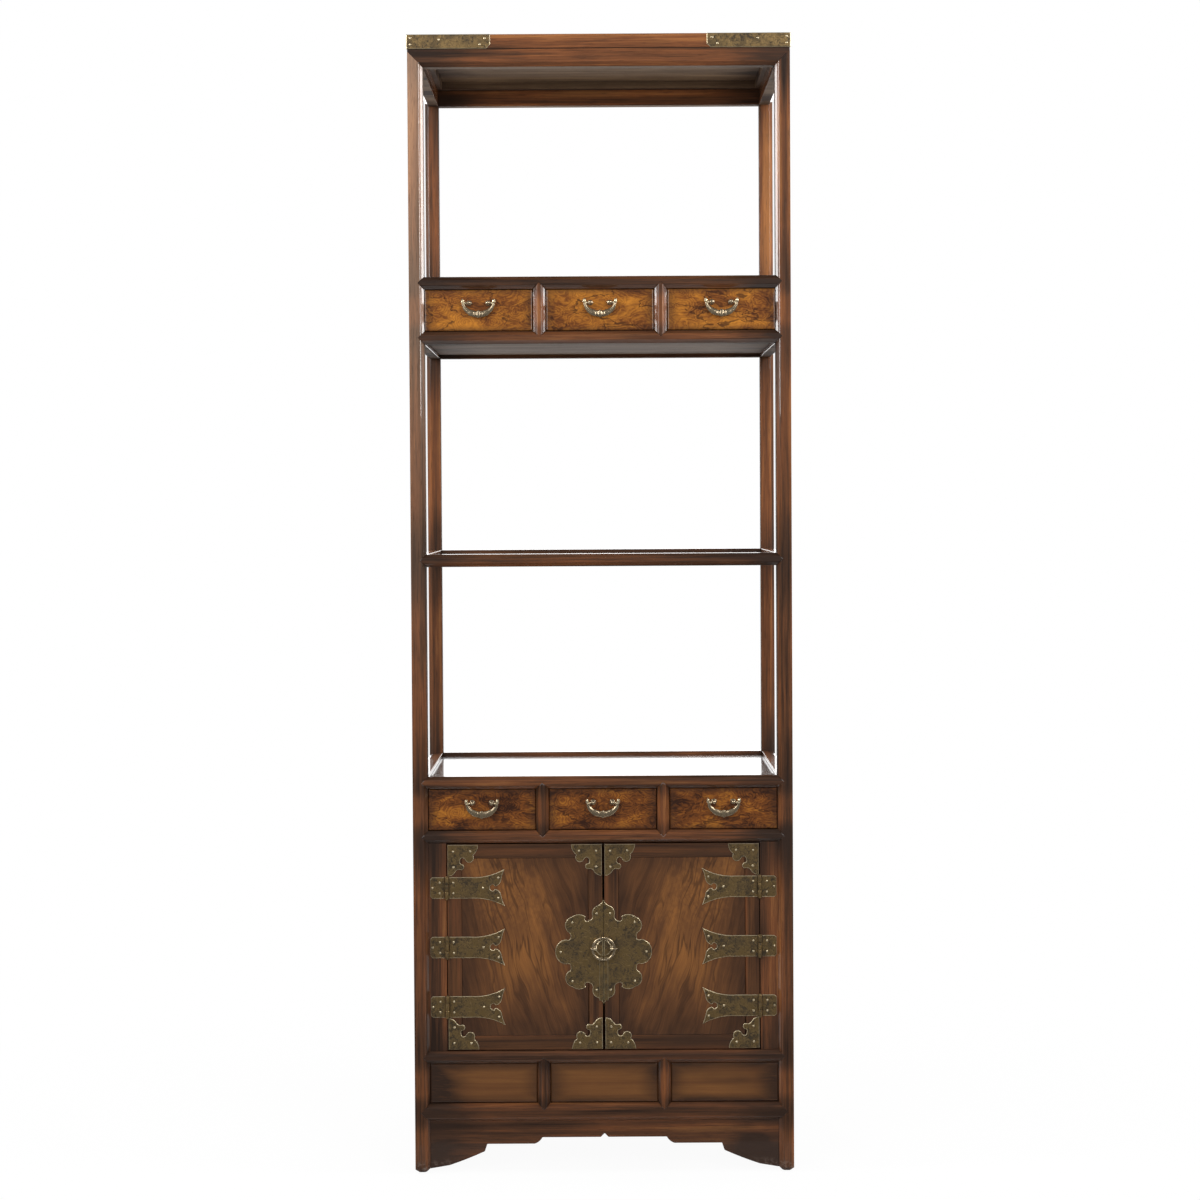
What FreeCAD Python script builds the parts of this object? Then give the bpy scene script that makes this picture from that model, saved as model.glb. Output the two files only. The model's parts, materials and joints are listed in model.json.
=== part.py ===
import FreeCAD, Part
import os
import re
import Sketcher

# Driving sizes in millimetres, angles in degrees.
SIZES = {
    "cabinet_width": 590,
    "cabinet_depth": 350,
    "post_width": 23,
    "rail_height": 19.5,
    "top_rail_height": 27,
    "base_rail_height": 27.5,
    "muntin_width": 19.5,
    "bevel": 6,
    "mitre_depth": 8,
    "tenon_length": 13,
    "tenon_setback": 9.5,
    "tenon_thickness": 5,
    "tenon_shoulder": 3,
    "face_recess": 6,
    "foot_bevel": 6,
    "apron_height": 80,
    "base_panel_height": 62.5,
    "base_panel_bevel": 2.5,
    "cupboard_height": 325,
    "drawer_opening_height": 65,
    "lower_tier_height": 326,
    "middle_tier_height": 325.5,
    "upper_tier_height": 323,
    "top_frame_height": 22,
    "top_frame_width": 30,
    "top_panel_thickness": 10,
    "shelf_thickness": 11,
    "shelf_recess": 6,
    "panel_thickness": 8,
    "partition_thickness": 12,
    "guide_height": 14,
    "strap_front_length": 128,
    "strap_side_length": 80,
    "strap_corner_cut": 6,
    "brass_thickness": 1.2,
    "apron_thickness": 12,
    "apron_toe_clearance": 5.5,
    "apron_foot_clearance": 10.5,
    "apron_foot_width": 30,
    "apron_knee_width": 85,
    "apron_knee_height": 32,
    "apron_step_width": 163,
    "apron_step_height": 43.5,
    "apron_arch_width": 175,
    "apron_arch_height": 53.5,
    "apron_notch": 6,
    "side_apron_knee_width": 44,
    "jamb_width": 28,
    "jamb_depth": 22,
    "door_thickness": 18,
    "door_gap": 1.8,
    "door_hinge_gap": 1.2,
    "door_seam_gap": 3,
    "door_stile_width": 22,
    "door_panel_thickness": 10,
    "door_panel_bevel": 1,
    "door_stop_size": 9,
    "door_stop_clearance": 0.3,
    "hinge_spacing": 93,
    "hinge_band_height": 33,
    "hinge_jamb_leaf_length": 26,
    "hinge_strap_length": 90,
    "hinge_tail_spread": 58,
    "hinge_corner_cut": 3,
    "knuckle_diameter": 6,
    "knuckle_standoff": 3.3,
    "knuckle_gap": 0.4,
    "knuckle_relief": 0.7,
    "hinge_pin_diameter": 3,
    "hinge_pin_clearance": 0.06,
    "corner_mount_length": 47.5,
    "corner_mount_height": 49,
    "corner_mount_inset": 0.8,
    "lock_plate_width": 150,
    "lock_plate_height": 166,
    "lock_drop": 8,
    "lock_plate_seam": 0.6,
    "seam_strip_width": 7,
    "seam_strip_thickness": 1.4,
    "ring_radius": 17,
    "ring_wire": 4,
    "ring_rise": 6,
    "ring_standoff": 7,
    "ring_seam": 0.6,
    "eye_diameter": 9,
    "eye_length": 4,
    "eye_bore": 5,
    "eye_neck": 4.5,
    "drawer_length": 296,
    "drawer_front_gap": 0.8,
    "drawer_front_thickness": 16,
    "drawer_front_bevel": 1.2,
    "drawer_side_clearance": 0.6,
    "drawer_lift": 0.3,
    "drawer_side_thickness": 8,
    "drawer_side_height": 52,
    "drawer_bottom_thickness": 5,
    "drawer_bottom_rise": 4,
    "pull_spacing": 30,
    "pull_rise": 11,
    "pull_standoff": 7,
    "pull_neck": 4,
    "pull_foot_diameter": 9,
    "pull_foot_thickness": 1,
    "pull_head_diameter": 6.5,
    "pull_head_length": 5,
    "bail_width": 54,
    "bail_drop": 23.5,
    "bail_horn": 7,
    "bail_horn_rise": 4.2,
    "bail_belly": 8.5,
    "bail_thickness": 4,
    "bail_pin_diameter": 2.4,
    "bail_pin_clearance": 0.1,
    "bail_boss_diameter": 11,
    "bail_boss_height": 1.4,
}

# What stands on what, from the floor up, each with the size that gives its height.
STACK = (
    ("apron", "apron_height"),
    ("base_rail", "base_rail_height"),
    ("base_panels", "base_panel_height"),
    ("cupboard_rail", "rail_height"),
    ("cupboard", "cupboard_height"),
    ("lower_drawer_rail", "rail_height"),
    ("lower_drawers", "drawer_opening_height"),
    ("counter_rail", "rail_height"),
    ("lower_tier", "lower_tier_height"),
    ("middle_rail", "rail_height"),
    ("middle_tier", "middle_tier_height"),
    ("upper_drawer_rail", "rail_height"),
    ("upper_drawers", "drawer_opening_height"),
    ("upper_shelf_rail", "rail_height"),
    ("upper_tier", "upper_tier_height"),
    ("top_rail", "top_rail_height"),
    ("top_frame", "top_frame_height"),
)
HEIGHT = dict(STACK)
RAILS = tuple(name for name, size in STACK if name.endswith("rail"))
MITRED_RAILS = RAILS[:-1]

# Rails whose top or bottom edge takes the points of the muntins.
MUNTIN_ROWS = {
    "base_panels": ("base_rail", "cupboard_rail"),
    "lower_drawers": ("lower_drawer_rail", "counter_rail"),
    "upper_drawers": ("upper_drawer_rail", "upper_shelf_rail"),
}
DRAWER_ROWS = ("lower_drawers", "upper_drawers")
COLUMNS = ("left", "centre", "right")
SIDES = (("left", -1), ("right", 1))

# Outlines as shares of a piece's width and height. A corner with four numbers is reached
# by an arc through the point that its last two give.
STRAP_FLARE = 0.4
STRAP_TAIL = ((1, -1, 0.74, -0.67), (0.86, -0.25, 0.955, -0.5), (0.78, 0, 0.8, -0.17))
MOUNT_LOBES = (
    (0.84, 0.33, 0.96, 0.18),
    (0.54, 0.47, 0.7, 0.56),
    (0.43, 0.8, 0.53, 0.66),
    (0, 1, 0.26, 0.86),
)
LOCK_LOBES = ((0.27, 0.74, 0.16, 0.9), (0.35, 0.63), (0.74, 0.26, 0.7, 0.66), (1, 0, 0.91, 0.19))
SEAM_STRIP = (-0.92, -0.1)

# How far up its rise each curve of an apron has come at half of its run, and the slope of its step.
APRON_KNEE = 0.46
APRON_COVE = 0.3
APRON_STEP_SLOPE = 3

# Corners of the small round brass pieces, and steps along a bail's curves.
BARREL = 8
TURNED = 8
RING = 20
BAIL_STEPS = 8
HORN_STEPS = 4

# Formulas that several pieces share.
INNER_WIDTH = "(cabinet_width - 2*post_width)"
INNER_DEPTH = "(cabinet_depth - 2*post_width)"
FRONT = "(-cabinet_depth/2)"
FACE = "(-cabinet_depth/2 + face_recess)"
CELL = "((cabinet_width - 2*post_width - 2*muntin_width)/3)"
CELL_STEP = f"({CELL} + muntin_width)"
HINGE_X = f"({INNER_WIDTH}/2 - jamb_width - door_hinge_gap/2)"
DOOR_WIDTH = f"({INNER_WIDTH}/2 - jamb_width - door_hinge_gap - door_seam_gap/2)"
DOOR_HEIGHT = "(cupboard_height - 2*door_gap)"

doc = FreeCAD.newDocument("Cabinet")
sheet = doc.addObject("Spreadsheet::Sheet", "Sizes")
for row, (alias, value) in enumerate(SIZES.items(), start=1):
    sheet.set(f"A{row}", alias)
    sheet.set(f"B{row}", str(value))
    sheet.setAlias(f"B{row}", alias)
doc.recompute()


def stack_levels():
    """Return the height of the underside of everything in the stack, as formulas."""
    levels = {}
    below = []
    for name, size in STACK:
        levels[name] = "(" + " + ".join(below or ["0"]) + ")"
        below.append(size)
    return levels


LEVEL = stack_levels()
pockets = []


def bound(formula):
    """Point every size named in a formula at its cell in the sheet."""
    return re.sub(r"[a-z]\w+", lambda word: f"Sizes.{word[0]}" if word[0] in SIZES else word[0], formula)


def value_of(formula):
    """Work a formula out with the sizes in the sheet."""
    return float(sheet.evalExpression(bound(formula)))


def point_of(place):
    return FreeCAD.Vector(value_of(place[0]), value_of(place[1]), 0)


def bind(item, **formulas):
    for name, formula in formulas.items():
        item.setExpression(name, bound(formula))


def put(item, x="0", y="0", z="0", turn=None):
    """Place an object by formulas, turned about an axis first where one is given."""
    if turn:
        axis, angle = turn
        item.Placement = FreeCAD.Placement(FreeCAD.Vector(), FreeCAD.Rotation(FreeCAD.Vector(axis), angle))
    bind(item, **{"Placement.Base.x": x, "Placement.Base.y": y, "Placement.Base.z": z})
    return item


def box(name, low, high):
    """A board between two corners, each given as three formulas."""
    board = doc.addObject("Part::Box", name)
    length, width, height = (f"({top}) - ({bottom})" for bottom, top in zip(low, high))
    bind(board, Length=length, Width=width, Height=height)
    return put(board, *low)


def group(label, pieces):
    compound = doc.addObject("Part::Compound", label)
    compound.Links = pieces
    return compound


def origin_feature(body, role):
    return next(feature for feature in body.Origin.OriginFeatures if feature.Role == role)


def turns_left(first, through, last):
    return (through - first).cross(last - through).z > 0


def add_loops(sketch, loops):
    """Draw closed outlines, every corner held at the two distances that its formulas give.

    A corner with four formulas is reached by an arc through the point that its last two give.
    """
    shapes = []
    marks = []
    rules = []
    formulas = {}

    def hold(geometry, end, place):
        for kind, formula in zip(("DistanceX", "DistanceY"), place):
            formulas[len(rules)] = bound(formula)
            rules.append(Sketcher.Constraint(kind, -1, 1, geometry, end, value_of(formula)))

    for corners in loops:
        starts = []
        ends = []
        for start, corner in zip(corners[-1:] + corners[:-1], corners):
            first, last = point_of(start[:2]), point_of(corner[:2])
            forward = True
            index = len(shapes)
            if len(corner) == 4:
                through = point_of(corner[2:])
                forward = turns_left(first, through, last)
                marks.append(index + 1)
                shapes += [Part.Arc(first, through, last), Part.Point(through)]
                rules.append(Sketcher.Constraint("PointOnObject", index + 1, 1, index))
                hold(index + 1, 1, corner[2:])
            else:
                shapes.append(Part.LineSegment(first, last))
            starts.append((index, 1 if forward else 2))
            ends.append((index, 2 if forward else 1))
        for corner, end, start in zip(corners, ends, starts[1:] + starts[:1]):
            rules.append(Sketcher.Constraint("Coincident", *end, *start))
            hold(*start, corner[:2])
    sketch.addGeometry(shapes, False)
    for mark in marks:
        sketch.toggleConstruction(mark)
    sketch.addConstraint(rules)
    for index, formula in formulas.items():
        sketch.setExpression(f"Constraints[{index}]", formula)


def draw(body, plane, loops, start):
    """A sketch on a plane of the body, moved along the plane's axis to start."""
    sketch = body.newObject("Sketcher::SketchObject", "Outline")
    sketch.AttachmentSupport = [(origin_feature(body, plane), "")]
    sketch.MapMode = "FlatFace"
    sign = "-" if plane == "XZ_Plane" else ""
    bind(sketch, **{"AttachmentOffset.Base.z": f"{sign}({start})"})
    add_loops(sketch, loops)
    return sketch


def pad(body, plane, loops, start, depth):
    """Add material from start along the plane's axis."""
    feature = body.newObject("PartDesign::Pad", "Pad")
    feature.Profile = draw(body, plane, loops, start)
    feature.Reversed = plane == "XZ_Plane"
    bind(feature, Length=depth)
    return feature


def pocket(body, plane, loops, start, depth):
    """Take material away from start along the plane's axis."""
    feature = body.newObject("PartDesign::Pocket", "Pocket")
    feature.Profile = draw(body, plane, loops, start)
    feature.Reversed = plane != "XZ_Plane"
    bind(feature, Length=depth)
    pockets.append(feature)
    return feature


def chamfer(body, size, chosen):
    """Bevel the edges of the body's last feature whose ends both pass a test."""
    base = body.Tip
    doc.recompute([base])
    names = [
        f"Edge{number}"
        for number, edge in enumerate(base.Shape.Edges, start=1)
        if all(chosen(vertex.Point) for vertex in edge.Vertexes)
    ]
    feature = body.newObject("PartDesign::Chamfer", "Bevel")
    feature.Base = (base, names)
    bind(feature, Size=size)
    return feature


def new_body(label):
    return doc.addObject("PartDesign::Body", label)


def rectangle(x0, y0, x1, y1):
    return [(x0, y0), (x1, y0), (x1, y1), (x0, y1)]


def near(value, formula):
    return abs(value - value_of(formula)) < 1e-6


def negative(formula):
    return f"-({formula})"


def with_mirror(half, flipped):
    """Complete a half outline with its image, the coordinate numbered flipped changing sign."""

    def image(place):
        return tuple(negative(part) if index % 2 == flipped else part for index, part in enumerate(place))

    loop = list(half)
    if half[-1][flipped] != "0":
        loop.append(image(half[-1][:2]))
    for before, corner in zip(half[-2::-1], half[:0:-1]):
        loop.append(image(before[:2]) + image(corner[2:]))
    return loop


def shares(outline, width, height):
    """Turn an outline given in shares of a width and a height into formulas."""

    def formula(index, share):
        return f"{share}*{height if index % 2 else width}" if share else "0"

    return [tuple(formula(index, share) for index, share in enumerate(corner)) for corner in outline]


def part_way(low, high, share):
    return f"{low} + {share}*({high} - {low})"


def round_stretch(x, y, width, height, first, last, steps):
    """Points on an ellipse about a middle, from one angle to another in equal steps."""
    angles = [first + (last - first) * step / steps for step in range(steps + 1)]
    return [(f"{x} + {width}*cos({angle})", f"{y} + {height}*sin({angle})") for angle in angles]


def regular(x, y, across, corners):
    """A regular polygon with an even number of corners, by its middle and its width across flats."""
    half_angle = 180 / corners
    reach = f"{corner_to_corner(across, corners)}/2"
    return round_stretch(x, y, reach, reach, half_angle, half_angle + 360, corners)[:-1]


def corner_to_corner(across, corners):
    return f"({across})/cos({180 / corners})"


def between(side, inner, outer):
    """Low and high formulas of a stretch from inner to outer, on the given side of the middle."""
    return (inner, outer) if side > 0 else (negative(outer), negative(inner))


def post(label, x, y, angle):
    """A corner post: bevelled, with a mitred seat and a mortise for every rail on two faces."""
    body = new_body(label)
    pad(body, "XY_Plane", [rectangle("0", "0", "post_width", "post_width")], "0", LEVEL["top_frame"])
    chamfer(body, "bevel", lambda p: near(p.x + p.y, "post_width") and near(p.x * p.y, "0"))
    chamfer(body, "foot_bevel", lambda p: near(p.z, "0"))
    seats = []
    upper_mortises = []
    lower_mortises = []
    for rail in RAILS:
        bottom, height = LEVEL[rail], HEIGHT[rail]
        middle = f"{bottom} + {height}/2"
        top = f"{bottom} + {height}"
        seat = [("post_width", bottom), ("post_width", top)]
        if rail in MITRED_RAILS:
            seat += [(f"post_width - {height}/2", middle)]
        else:
            seat += [("0", top), ("0", f"{bottom} + post_width")]
        seats.append(seat)
        edges = ("tenon_setback", "tenon_setback + tenon_thickness")
        upper_mortises.append(rectangle(edges[0], middle, edges[1], f"{top} - tenon_shoulder"))
        lower_mortises.append(rectangle(edges[0], f"{bottom} + tenon_shoulder", edges[1], middle))
    for plane in ("XZ_Plane", "YZ_Plane"):
        pocket(body, plane, seats, "0", "mitre_depth")
    pocket(body, "YZ_Plane", upper_mortises, "post_width - tenon_length", "tenon_length")
    pocket(body, "XZ_Plane", lower_mortises, "post_width - tenon_length", "tenon_length")
    return put(body, x, y, turn=((0, 0, 1), angle))


def add_tenons(body, length, height):
    """Stub tenons: in the upper half at one end and in the lower half at the other."""
    upper = rectangle("-tenon_length", f"{height}/2", "0", f"{height} - tenon_shoulder")
    lower = rectangle(length, "tenon_shoulder", f"{length} + tenon_length", f"{height}/2")
    pad(body, "XZ_Plane", [upper, lower], "tenon_setback", "tenon_thickness")


def pointed_member(label, length, height, tenons, notches=()):
    """A bevelled member whose front layer ends in mitred points, with seats for other points."""
    body = new_body(label)
    middle = f"{height}/2"
    outline = [
        ("0", "0"),
        (length, "0"),
        (f"{length} + {middle}", middle),
        (length, height),
        ("0", height),
        (f"-{middle}", middle),
    ]
    pad(body, "XZ_Plane", [outline], "0", "mitre_depth")
    chamfer(body, "bevel", lambda p: near(p.y, "0") and (near(p.x, "0") or near(p.x, length)))
    pad(body, "XZ_Plane", [rectangle("0", "0", length, height)], "mitre_depth", "post_width - mitre_depth")
    if tenons:
        add_tenons(body, length, height)
    if notches:
        pocket(body, "XZ_Plane", notches, "0", "mitre_depth")
    return body


def top_member(label, length):
    """A rail under the top, mitred over the post's face and against the next rail in plan."""
    body = new_body(label)
    height = HEIGHT["top_rail"]
    far = f"{length} + post_width"
    outline = [
        ("0", "0"),
        (length, "0"),
        (far, "post_width"),
        (far, height),
        ("-post_width", height),
        ("-post_width", "post_width"),
    ]
    pad(body, "XZ_Plane", [outline], "0", "mitre_depth")
    chamfer(body, "bevel", lambda p: near(p.y, "0") and near(p.z, "0"))
    pad(body, "XZ_Plane", [rectangle("0", "0", length, height)], "mitre_depth", "post_width - mitre_depth")
    add_tenons(body, length, height)
    plan_mitres = [
        [("-post_width", "0"), ("-post_width", "mitre_depth"), ("mitre_depth - post_width", "mitre_depth")],
        [(far, "0"), (far, "mitre_depth"), (f"{far} - mitre_depth", "mitre_depth")],
    ]
    pocket(body, "XY_Plane", plan_mitres, "0", height)
    return body


def muntin_notches(rail):
    """Seats in a front rail for the points of the muntins that stand on it or hang from it."""
    notches = []
    for below, above in MUNTIN_ROWS.values():
        if rail not in (below, above):
            continue
        edge = HEIGHT[rail] if rail == below else "0"
        inward = "-" if rail == below else "+"
        for side in (-1, 1):
            x = f"{INNER_WIDTH}/2 + {side}*{CELL_STEP}/2"
            corners = [(f"{x} - muntin_width/2", edge), (f"{x} + muntin_width/2", edge)]
            notches.append(corners + [(x, f"{edge} {inward} muntin_width/2")])
    return notches


def rails():
    """Eight rails on each of the four sides, every ring of four at one height."""
    rings = {
        "front": (f"-{INNER_WIDTH}/2", "-cabinet_depth/2", 0, INNER_WIDTH),
        "right": ("cabinet_width/2", f"-{INNER_DEPTH}/2", 90, INNER_DEPTH),
        "rear": (f"{INNER_WIDTH}/2", "cabinet_depth/2", 180, INNER_WIDTH),
        "left": ("-cabinet_width/2", f"{INNER_DEPTH}/2", 270, INNER_DEPTH),
    }
    made = {}
    for name, (x, y, angle, length) in rings.items():
        made[name] = []
        for rail in RAILS:
            label = f"{name}_{rail}"
            if rail in MITRED_RAILS:
                notches = muntin_notches(rail) if name == "front" else ()
                body = pointed_member(label, length, HEIGHT[rail], True, notches)
            else:
                body = top_member(label, length)
            made[name].append(put(body, x, y, LEVEL[rail], ((0, 0, 1), angle)))
    return [
        group("front_rails", made["front"]),
        group("rear_rails", made["rear"]),
        group("side_rails", made["left"] + made["right"]),
    ]


def muntins():
    pieces = []
    for row in MUNTIN_ROWS:
        for name, side in SIDES:
            body = pointed_member(f"{row}_{name}_muntin", HEIGHT[row], "muntin_width", False)
            x = f"{side}*{CELL_STEP}/2 + muntin_width/2"
            pieces.append(put(body, x, FRONT, LEVEL[row], ((0, 1, 0), -90)))
    return group("muntins", pieces)


def top():
    """The top: four mitred boards round a thinner panel, with brass straps on the front corners."""
    outer = [("-cabinet_width/2", "-cabinet_depth/2"), ("cabinet_width/2", "-cabinet_depth/2")]
    outer += [("cabinet_width/2", "cabinet_depth/2"), ("-cabinet_width/2", "cabinet_depth/2")]
    width, depth = "(cabinet_width/2 - top_frame_width)", "(cabinet_depth/2 - top_frame_width)"
    inner = rectangle(f"-{width}", f"-{depth}", width, depth)
    boards = []
    for index in range(4):
        following = (index + 1) % 4
        body = new_body(f"top_board_{index}")
        outline = [outer[index], outer[following], inner[following], inner[index]]
        pad(body, "XY_Plane", [outline], LEVEL["top_frame"], "top_frame_height")
        boards.append(body)
    surface = f"{LEVEL['top_frame']} + top_frame_height"
    panel = box(
        "top_panel",
        (f"-{width}", f"-{depth}", f"{surface} - top_panel_thickness"),
        (width, depth, surface),
    )
    return [group("top_frame", boards), panel, top_straps()]


def top_straps():
    bottom = LEVEL["top_frame"]
    surface = f"{bottom} + top_frame_height"

    def leg(corner, end, inward):
        """A strap's leg, from the cabinet's corner to an end with its lower corner cut off."""
        cut = f"{end} {'+' if inward < 0 else '-'} strap_corner_cut"
        return [
            (corner, bottom),
            (cut, bottom),
            (end, f"{bottom} + strap_corner_cut"),
            (end, surface),
            (corner, surface),
        ]

    straps = []
    for name, side in SIDES:
        body = new_body(f"{name}_top_strap")
        corner = f"{side}*(cabinet_width/2 + brass_thickness)"
        end = f"{side}*(cabinet_width/2 - strap_front_length)"
        pad(body, "XZ_Plane", [leg(corner, end, -side)], f"{FRONT} - brass_thickness", "brass_thickness")
        low, high = between(side, "cabinet_width/2", "cabinet_width/2 + brass_thickness")
        pad(body, "YZ_Plane", [leg(FRONT, f"{FRONT} + strap_side_length", 1)], low, f"{high} - ({low})")
        straps.append(body)
    return group("top_corner_straps", straps)


def shelf(label, rail, recess, thickness="shelf_thickness"):
    """A panel let in between the four rails of one ring, its top face recessed below their tops."""
    surface = f"{LEVEL[rail]} + {HEIGHT[rail]} - {recess}"
    return box(
        label,
        (f"-{INNER_WIDTH}/2", f"-{INNER_DEPTH}/2", f"{surface} - ({thickness})"),
        (f"{INNER_WIDTH}/2", f"{INNER_DEPTH}/2", surface),
    )


def closed_rows():
    return [row for row in LEVEL if row in MUNTIN_ROWS or row == "cupboard"]


def side_panels():
    panels = []
    inner = "cabinet_width/2 - post_width/2 - panel_thickness/2"
    for row in closed_rows():
        for name, side in SIDES:
            low, high = between(side, inner, f"{inner} + panel_thickness")
            corner = (low, f"-{INNER_DEPTH}/2", LEVEL[row])
            opposite = (high, f"{INNER_DEPTH}/2", f"{LEVEL[row]} + {HEIGHT[row]}")
            panels.append(box(f"{name}_{row}_side", corner, opposite))
    return group("side_panels", panels)


def back_panels():
    panels = []
    inner = "cabinet_depth/2 - post_width/2 - panel_thickness/2"
    for row in closed_rows():
        corner = (f"-{INNER_WIDTH}/2", inner, LEVEL[row])
        opposite = (f"{INNER_WIDTH}/2", f"{inner} + panel_thickness", f"{LEVEL[row]} + {HEIGHT[row]}")
        panels.append(box(f"{row}_back", corner, opposite))
    return group("back_panels", panels)


def cell_edges(column):
    """The two sides of one of the three cells between the posts and the muntins."""
    left = f"({COLUMNS.index(column)}*{CELL_STEP} - {INNER_WIDTH}/2)"
    return left, f"({left} + {CELL})"


def base_panels():
    """Three blind panels with a fine bevel round them."""
    panels = []
    row = "base_panels"
    for column in COLUMNS:
        left, right = cell_edges(column)
        body = new_body(f"{column}_base_panel")
        outline = rectangle(left, LEVEL[row], right, f"{LEVEL[row]} + {HEIGHT[row]}")
        pad(body, "XZ_Plane", [outline], FACE, "panel_thickness")
        chamfer(body, "base_panel_bevel", lambda p: near(p.y, FACE))
        panels.append(body)
    return group("base_panels", panels)


def drawer_partitions():
    boards = []
    for row in DRAWER_ROWS:
        top_edge = f"{LEVEL[row]} + {HEIGHT[row]} + rail_height - shelf_recess - shelf_thickness"
        for name, side in SIDES:
            x = f"{side}*{CELL_STEP}/2"
            corner = (f"{x} - partition_thickness/2", f"-{INNER_DEPTH}/2", LEVEL[row])
            opposite = (f"{x} + partition_thickness/2", f"{INNER_DEPTH}/2", top_edge)
            boards.append(box(f"{row}_{name}_partition", corner, opposite))
    return group("drawer_partitions", boards)


def drawer_guides():
    """Strips on both sides of every cell that keep a drawer straight behind the posts and muntins."""
    strips = []
    half_partition = "partition_thickness/2"
    stretches = {
        "outer": (f"{INNER_WIDTH}/2", "cabinet_width/2 - post_width/2 - panel_thickness/2"),
        "side": (f"{CELL_STEP}/2 + {half_partition}", f"{CELL_STEP}/2 + muntin_width/2"),
        "middle": (f"{CELL_STEP}/2 - muntin_width/2", f"{CELL_STEP}/2 - {half_partition}"),
    }
    for row in DRAWER_ROWS:
        for name, side in SIDES:
            for place, (inner, outer) in stretches.items():
                low, high = between(side, inner, outer)
                corner = (low, f"-{INNER_DEPTH}/2", LEVEL[row])
                opposite = (high, f"{INNER_DEPTH}/2", f"{LEVEL[row]} + guide_height")
                strips.append(box(f"{row}_{name}_{place}_guide", corner, opposite))
    return group("drawer_guides", strips)


def aprons():
    """The shaped boards under the base: one in front and one on each side."""
    edge = f"{INNER_WIDTH}/2"
    step = f"{edge} - apron_knee_width - (apron_step_height - apron_knee_height)/{APRON_STEP_SLOPE}"
    half = [
        (edge, "apron_height"),
        (edge, "apron_toe_clearance"),
        (f"{edge} - apron_foot_width", "apron_foot_clearance"),
        (
            f"{edge} - apron_knee_width",
            "apron_knee_height",
            f"{edge} - (apron_foot_width + apron_knee_width)/2",
            part_way("apron_foot_clearance", "apron_knee_height", APRON_KNEE),
        ),
        (step, "apron_step_height"),
        (f"{edge} - apron_step_width", "apron_step_height"),
        (
            f"{edge} - apron_arch_width",
            "apron_arch_height",
            f"{edge} - (apron_step_width + apron_arch_width)/2",
            part_way("apron_step_height", "apron_arch_height", APRON_COVE),
        ),
        ("apron_notch", "apron_arch_height"),
        ("0", "apron_arch_height + apron_notch"),
    ]
    front = new_body("front_apron")
    pad(front, "XZ_Plane", [with_mirror(half, 0)], FACE, "apron_thickness")
    depth = f"{INNER_DEPTH}/2"
    half = [
        (depth, "apron_height"),
        (depth, "apron_toe_clearance"),
        (f"{depth} - apron_foot_width", "apron_foot_clearance"),
        (
            f"{depth} - apron_foot_width - side_apron_knee_width",
            "apron_step_height",
            f"{depth} - apron_foot_width - side_apron_knee_width/2",
            part_way("apron_foot_clearance", "apron_step_height", APRON_KNEE),
        ),
        (f"{depth} - apron_foot_width - side_apron_knee_width", "apron_arch_height"),
    ]
    boards = []
    for name, side in SIDES:
        body = new_body(f"{name}_apron")
        outer = "cabinet_width/2 - face_recess"
        low, high = between(side, f"{outer} - apron_thickness", outer)
        pad(body, "YZ_Plane", [with_mirror(half, 0)], low, "apron_thickness")
        boards.append(body)
    return [front, group("side_aprons", boards)]


def door_jambs():
    """Fixed stiles between the posts and the doors, and the strips that the doors close against."""
    jambs = []
    for name, side in SIDES:
        low, high = between(side, f"{INNER_WIDTH}/2 - jamb_width", f"{INNER_WIDTH}/2")
        corner = (low, FACE, LEVEL["cupboard"])
        opposite = (high, f"{FACE} + jamb_depth", f"{LEVEL['cupboard']} + cupboard_height")
        jambs.append(box(f"{name}_jamb", corner, opposite))
    behind = f"{FACE} + door_thickness + door_stop_clearance"
    ceiling = f"{LEVEL['lower_drawer_rail']} + rail_height - shelf_thickness"
    heights = {
        "lower": (LEVEL["cupboard"], f"{LEVEL['cupboard']} + door_stop_size"),
        "upper": (f"{LEVEL['lower_drawer_rail']} - door_stop_size", ceiling),
    }
    stops = []
    for name, (bottom, top_edge) in heights.items():
        corner = (f"jamb_width - {INNER_WIDTH}/2", behind, bottom)
        opposite = (f"{INNER_WIDTH}/2 - jamb_width", f"{behind} + door_stop_size", top_edge)
        stops.append(box(f"{name}_stop", corner, opposite))
    return [group("door_jambs", jambs), group("door_stops", stops)]


def hinge_axis_bore(body):
    bore = f"{corner_to_corner('hinge_pin_diameter', BARREL)} + 2*hinge_pin_clearance"
    outline = regular("0", "-knuckle_standoff", bore, BARREL)
    pocket(body, "XY_Plane", [outline], "-hinge_band_height/2", "hinge_band_height")


def add_knuckle(body, direction, low, high):
    """A barrel on the hinge axis from low to high, and the tab that carries it on its leaf."""
    relief = f"{direction}*(knuckle_diameter/2 + knuckle_relief)"
    tab = rectangle("0", low, relief, high)
    pad(body, "XZ_Plane", [tab], "-brass_thickness", "brass_thickness")
    barrel = regular("0", "-knuckle_standoff", "knuckle_diameter", BARREL)
    pad(body, "XY_Plane", [barrel], low, f"{high} - ({low})")


def strap_leaf(label):
    """A door's leaf: a band that flares to a swallow tail, with the upper and lower knuckles."""
    body = new_body(label)
    band = "hinge_band_height/2"
    half = [
        ("knuckle_diameter/2 + knuckle_relief", f"-{band}"),
        (f"{STRAP_FLARE}*hinge_strap_length", f"-{band}"),
    ]
    half += shares(STRAP_TAIL, "hinge_strap_length", "hinge_tail_spread/2")
    pad(body, "XZ_Plane", [with_mirror(half, 1)], "-brass_thickness", "brass_thickness")
    third = "(hinge_band_height/6 + knuckle_gap/2)"
    add_knuckle(body, 1, third, band)
    add_knuckle(body, 1, f"-{band}", f"-{third}")
    hinge_axis_bore(body)
    return body


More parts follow.
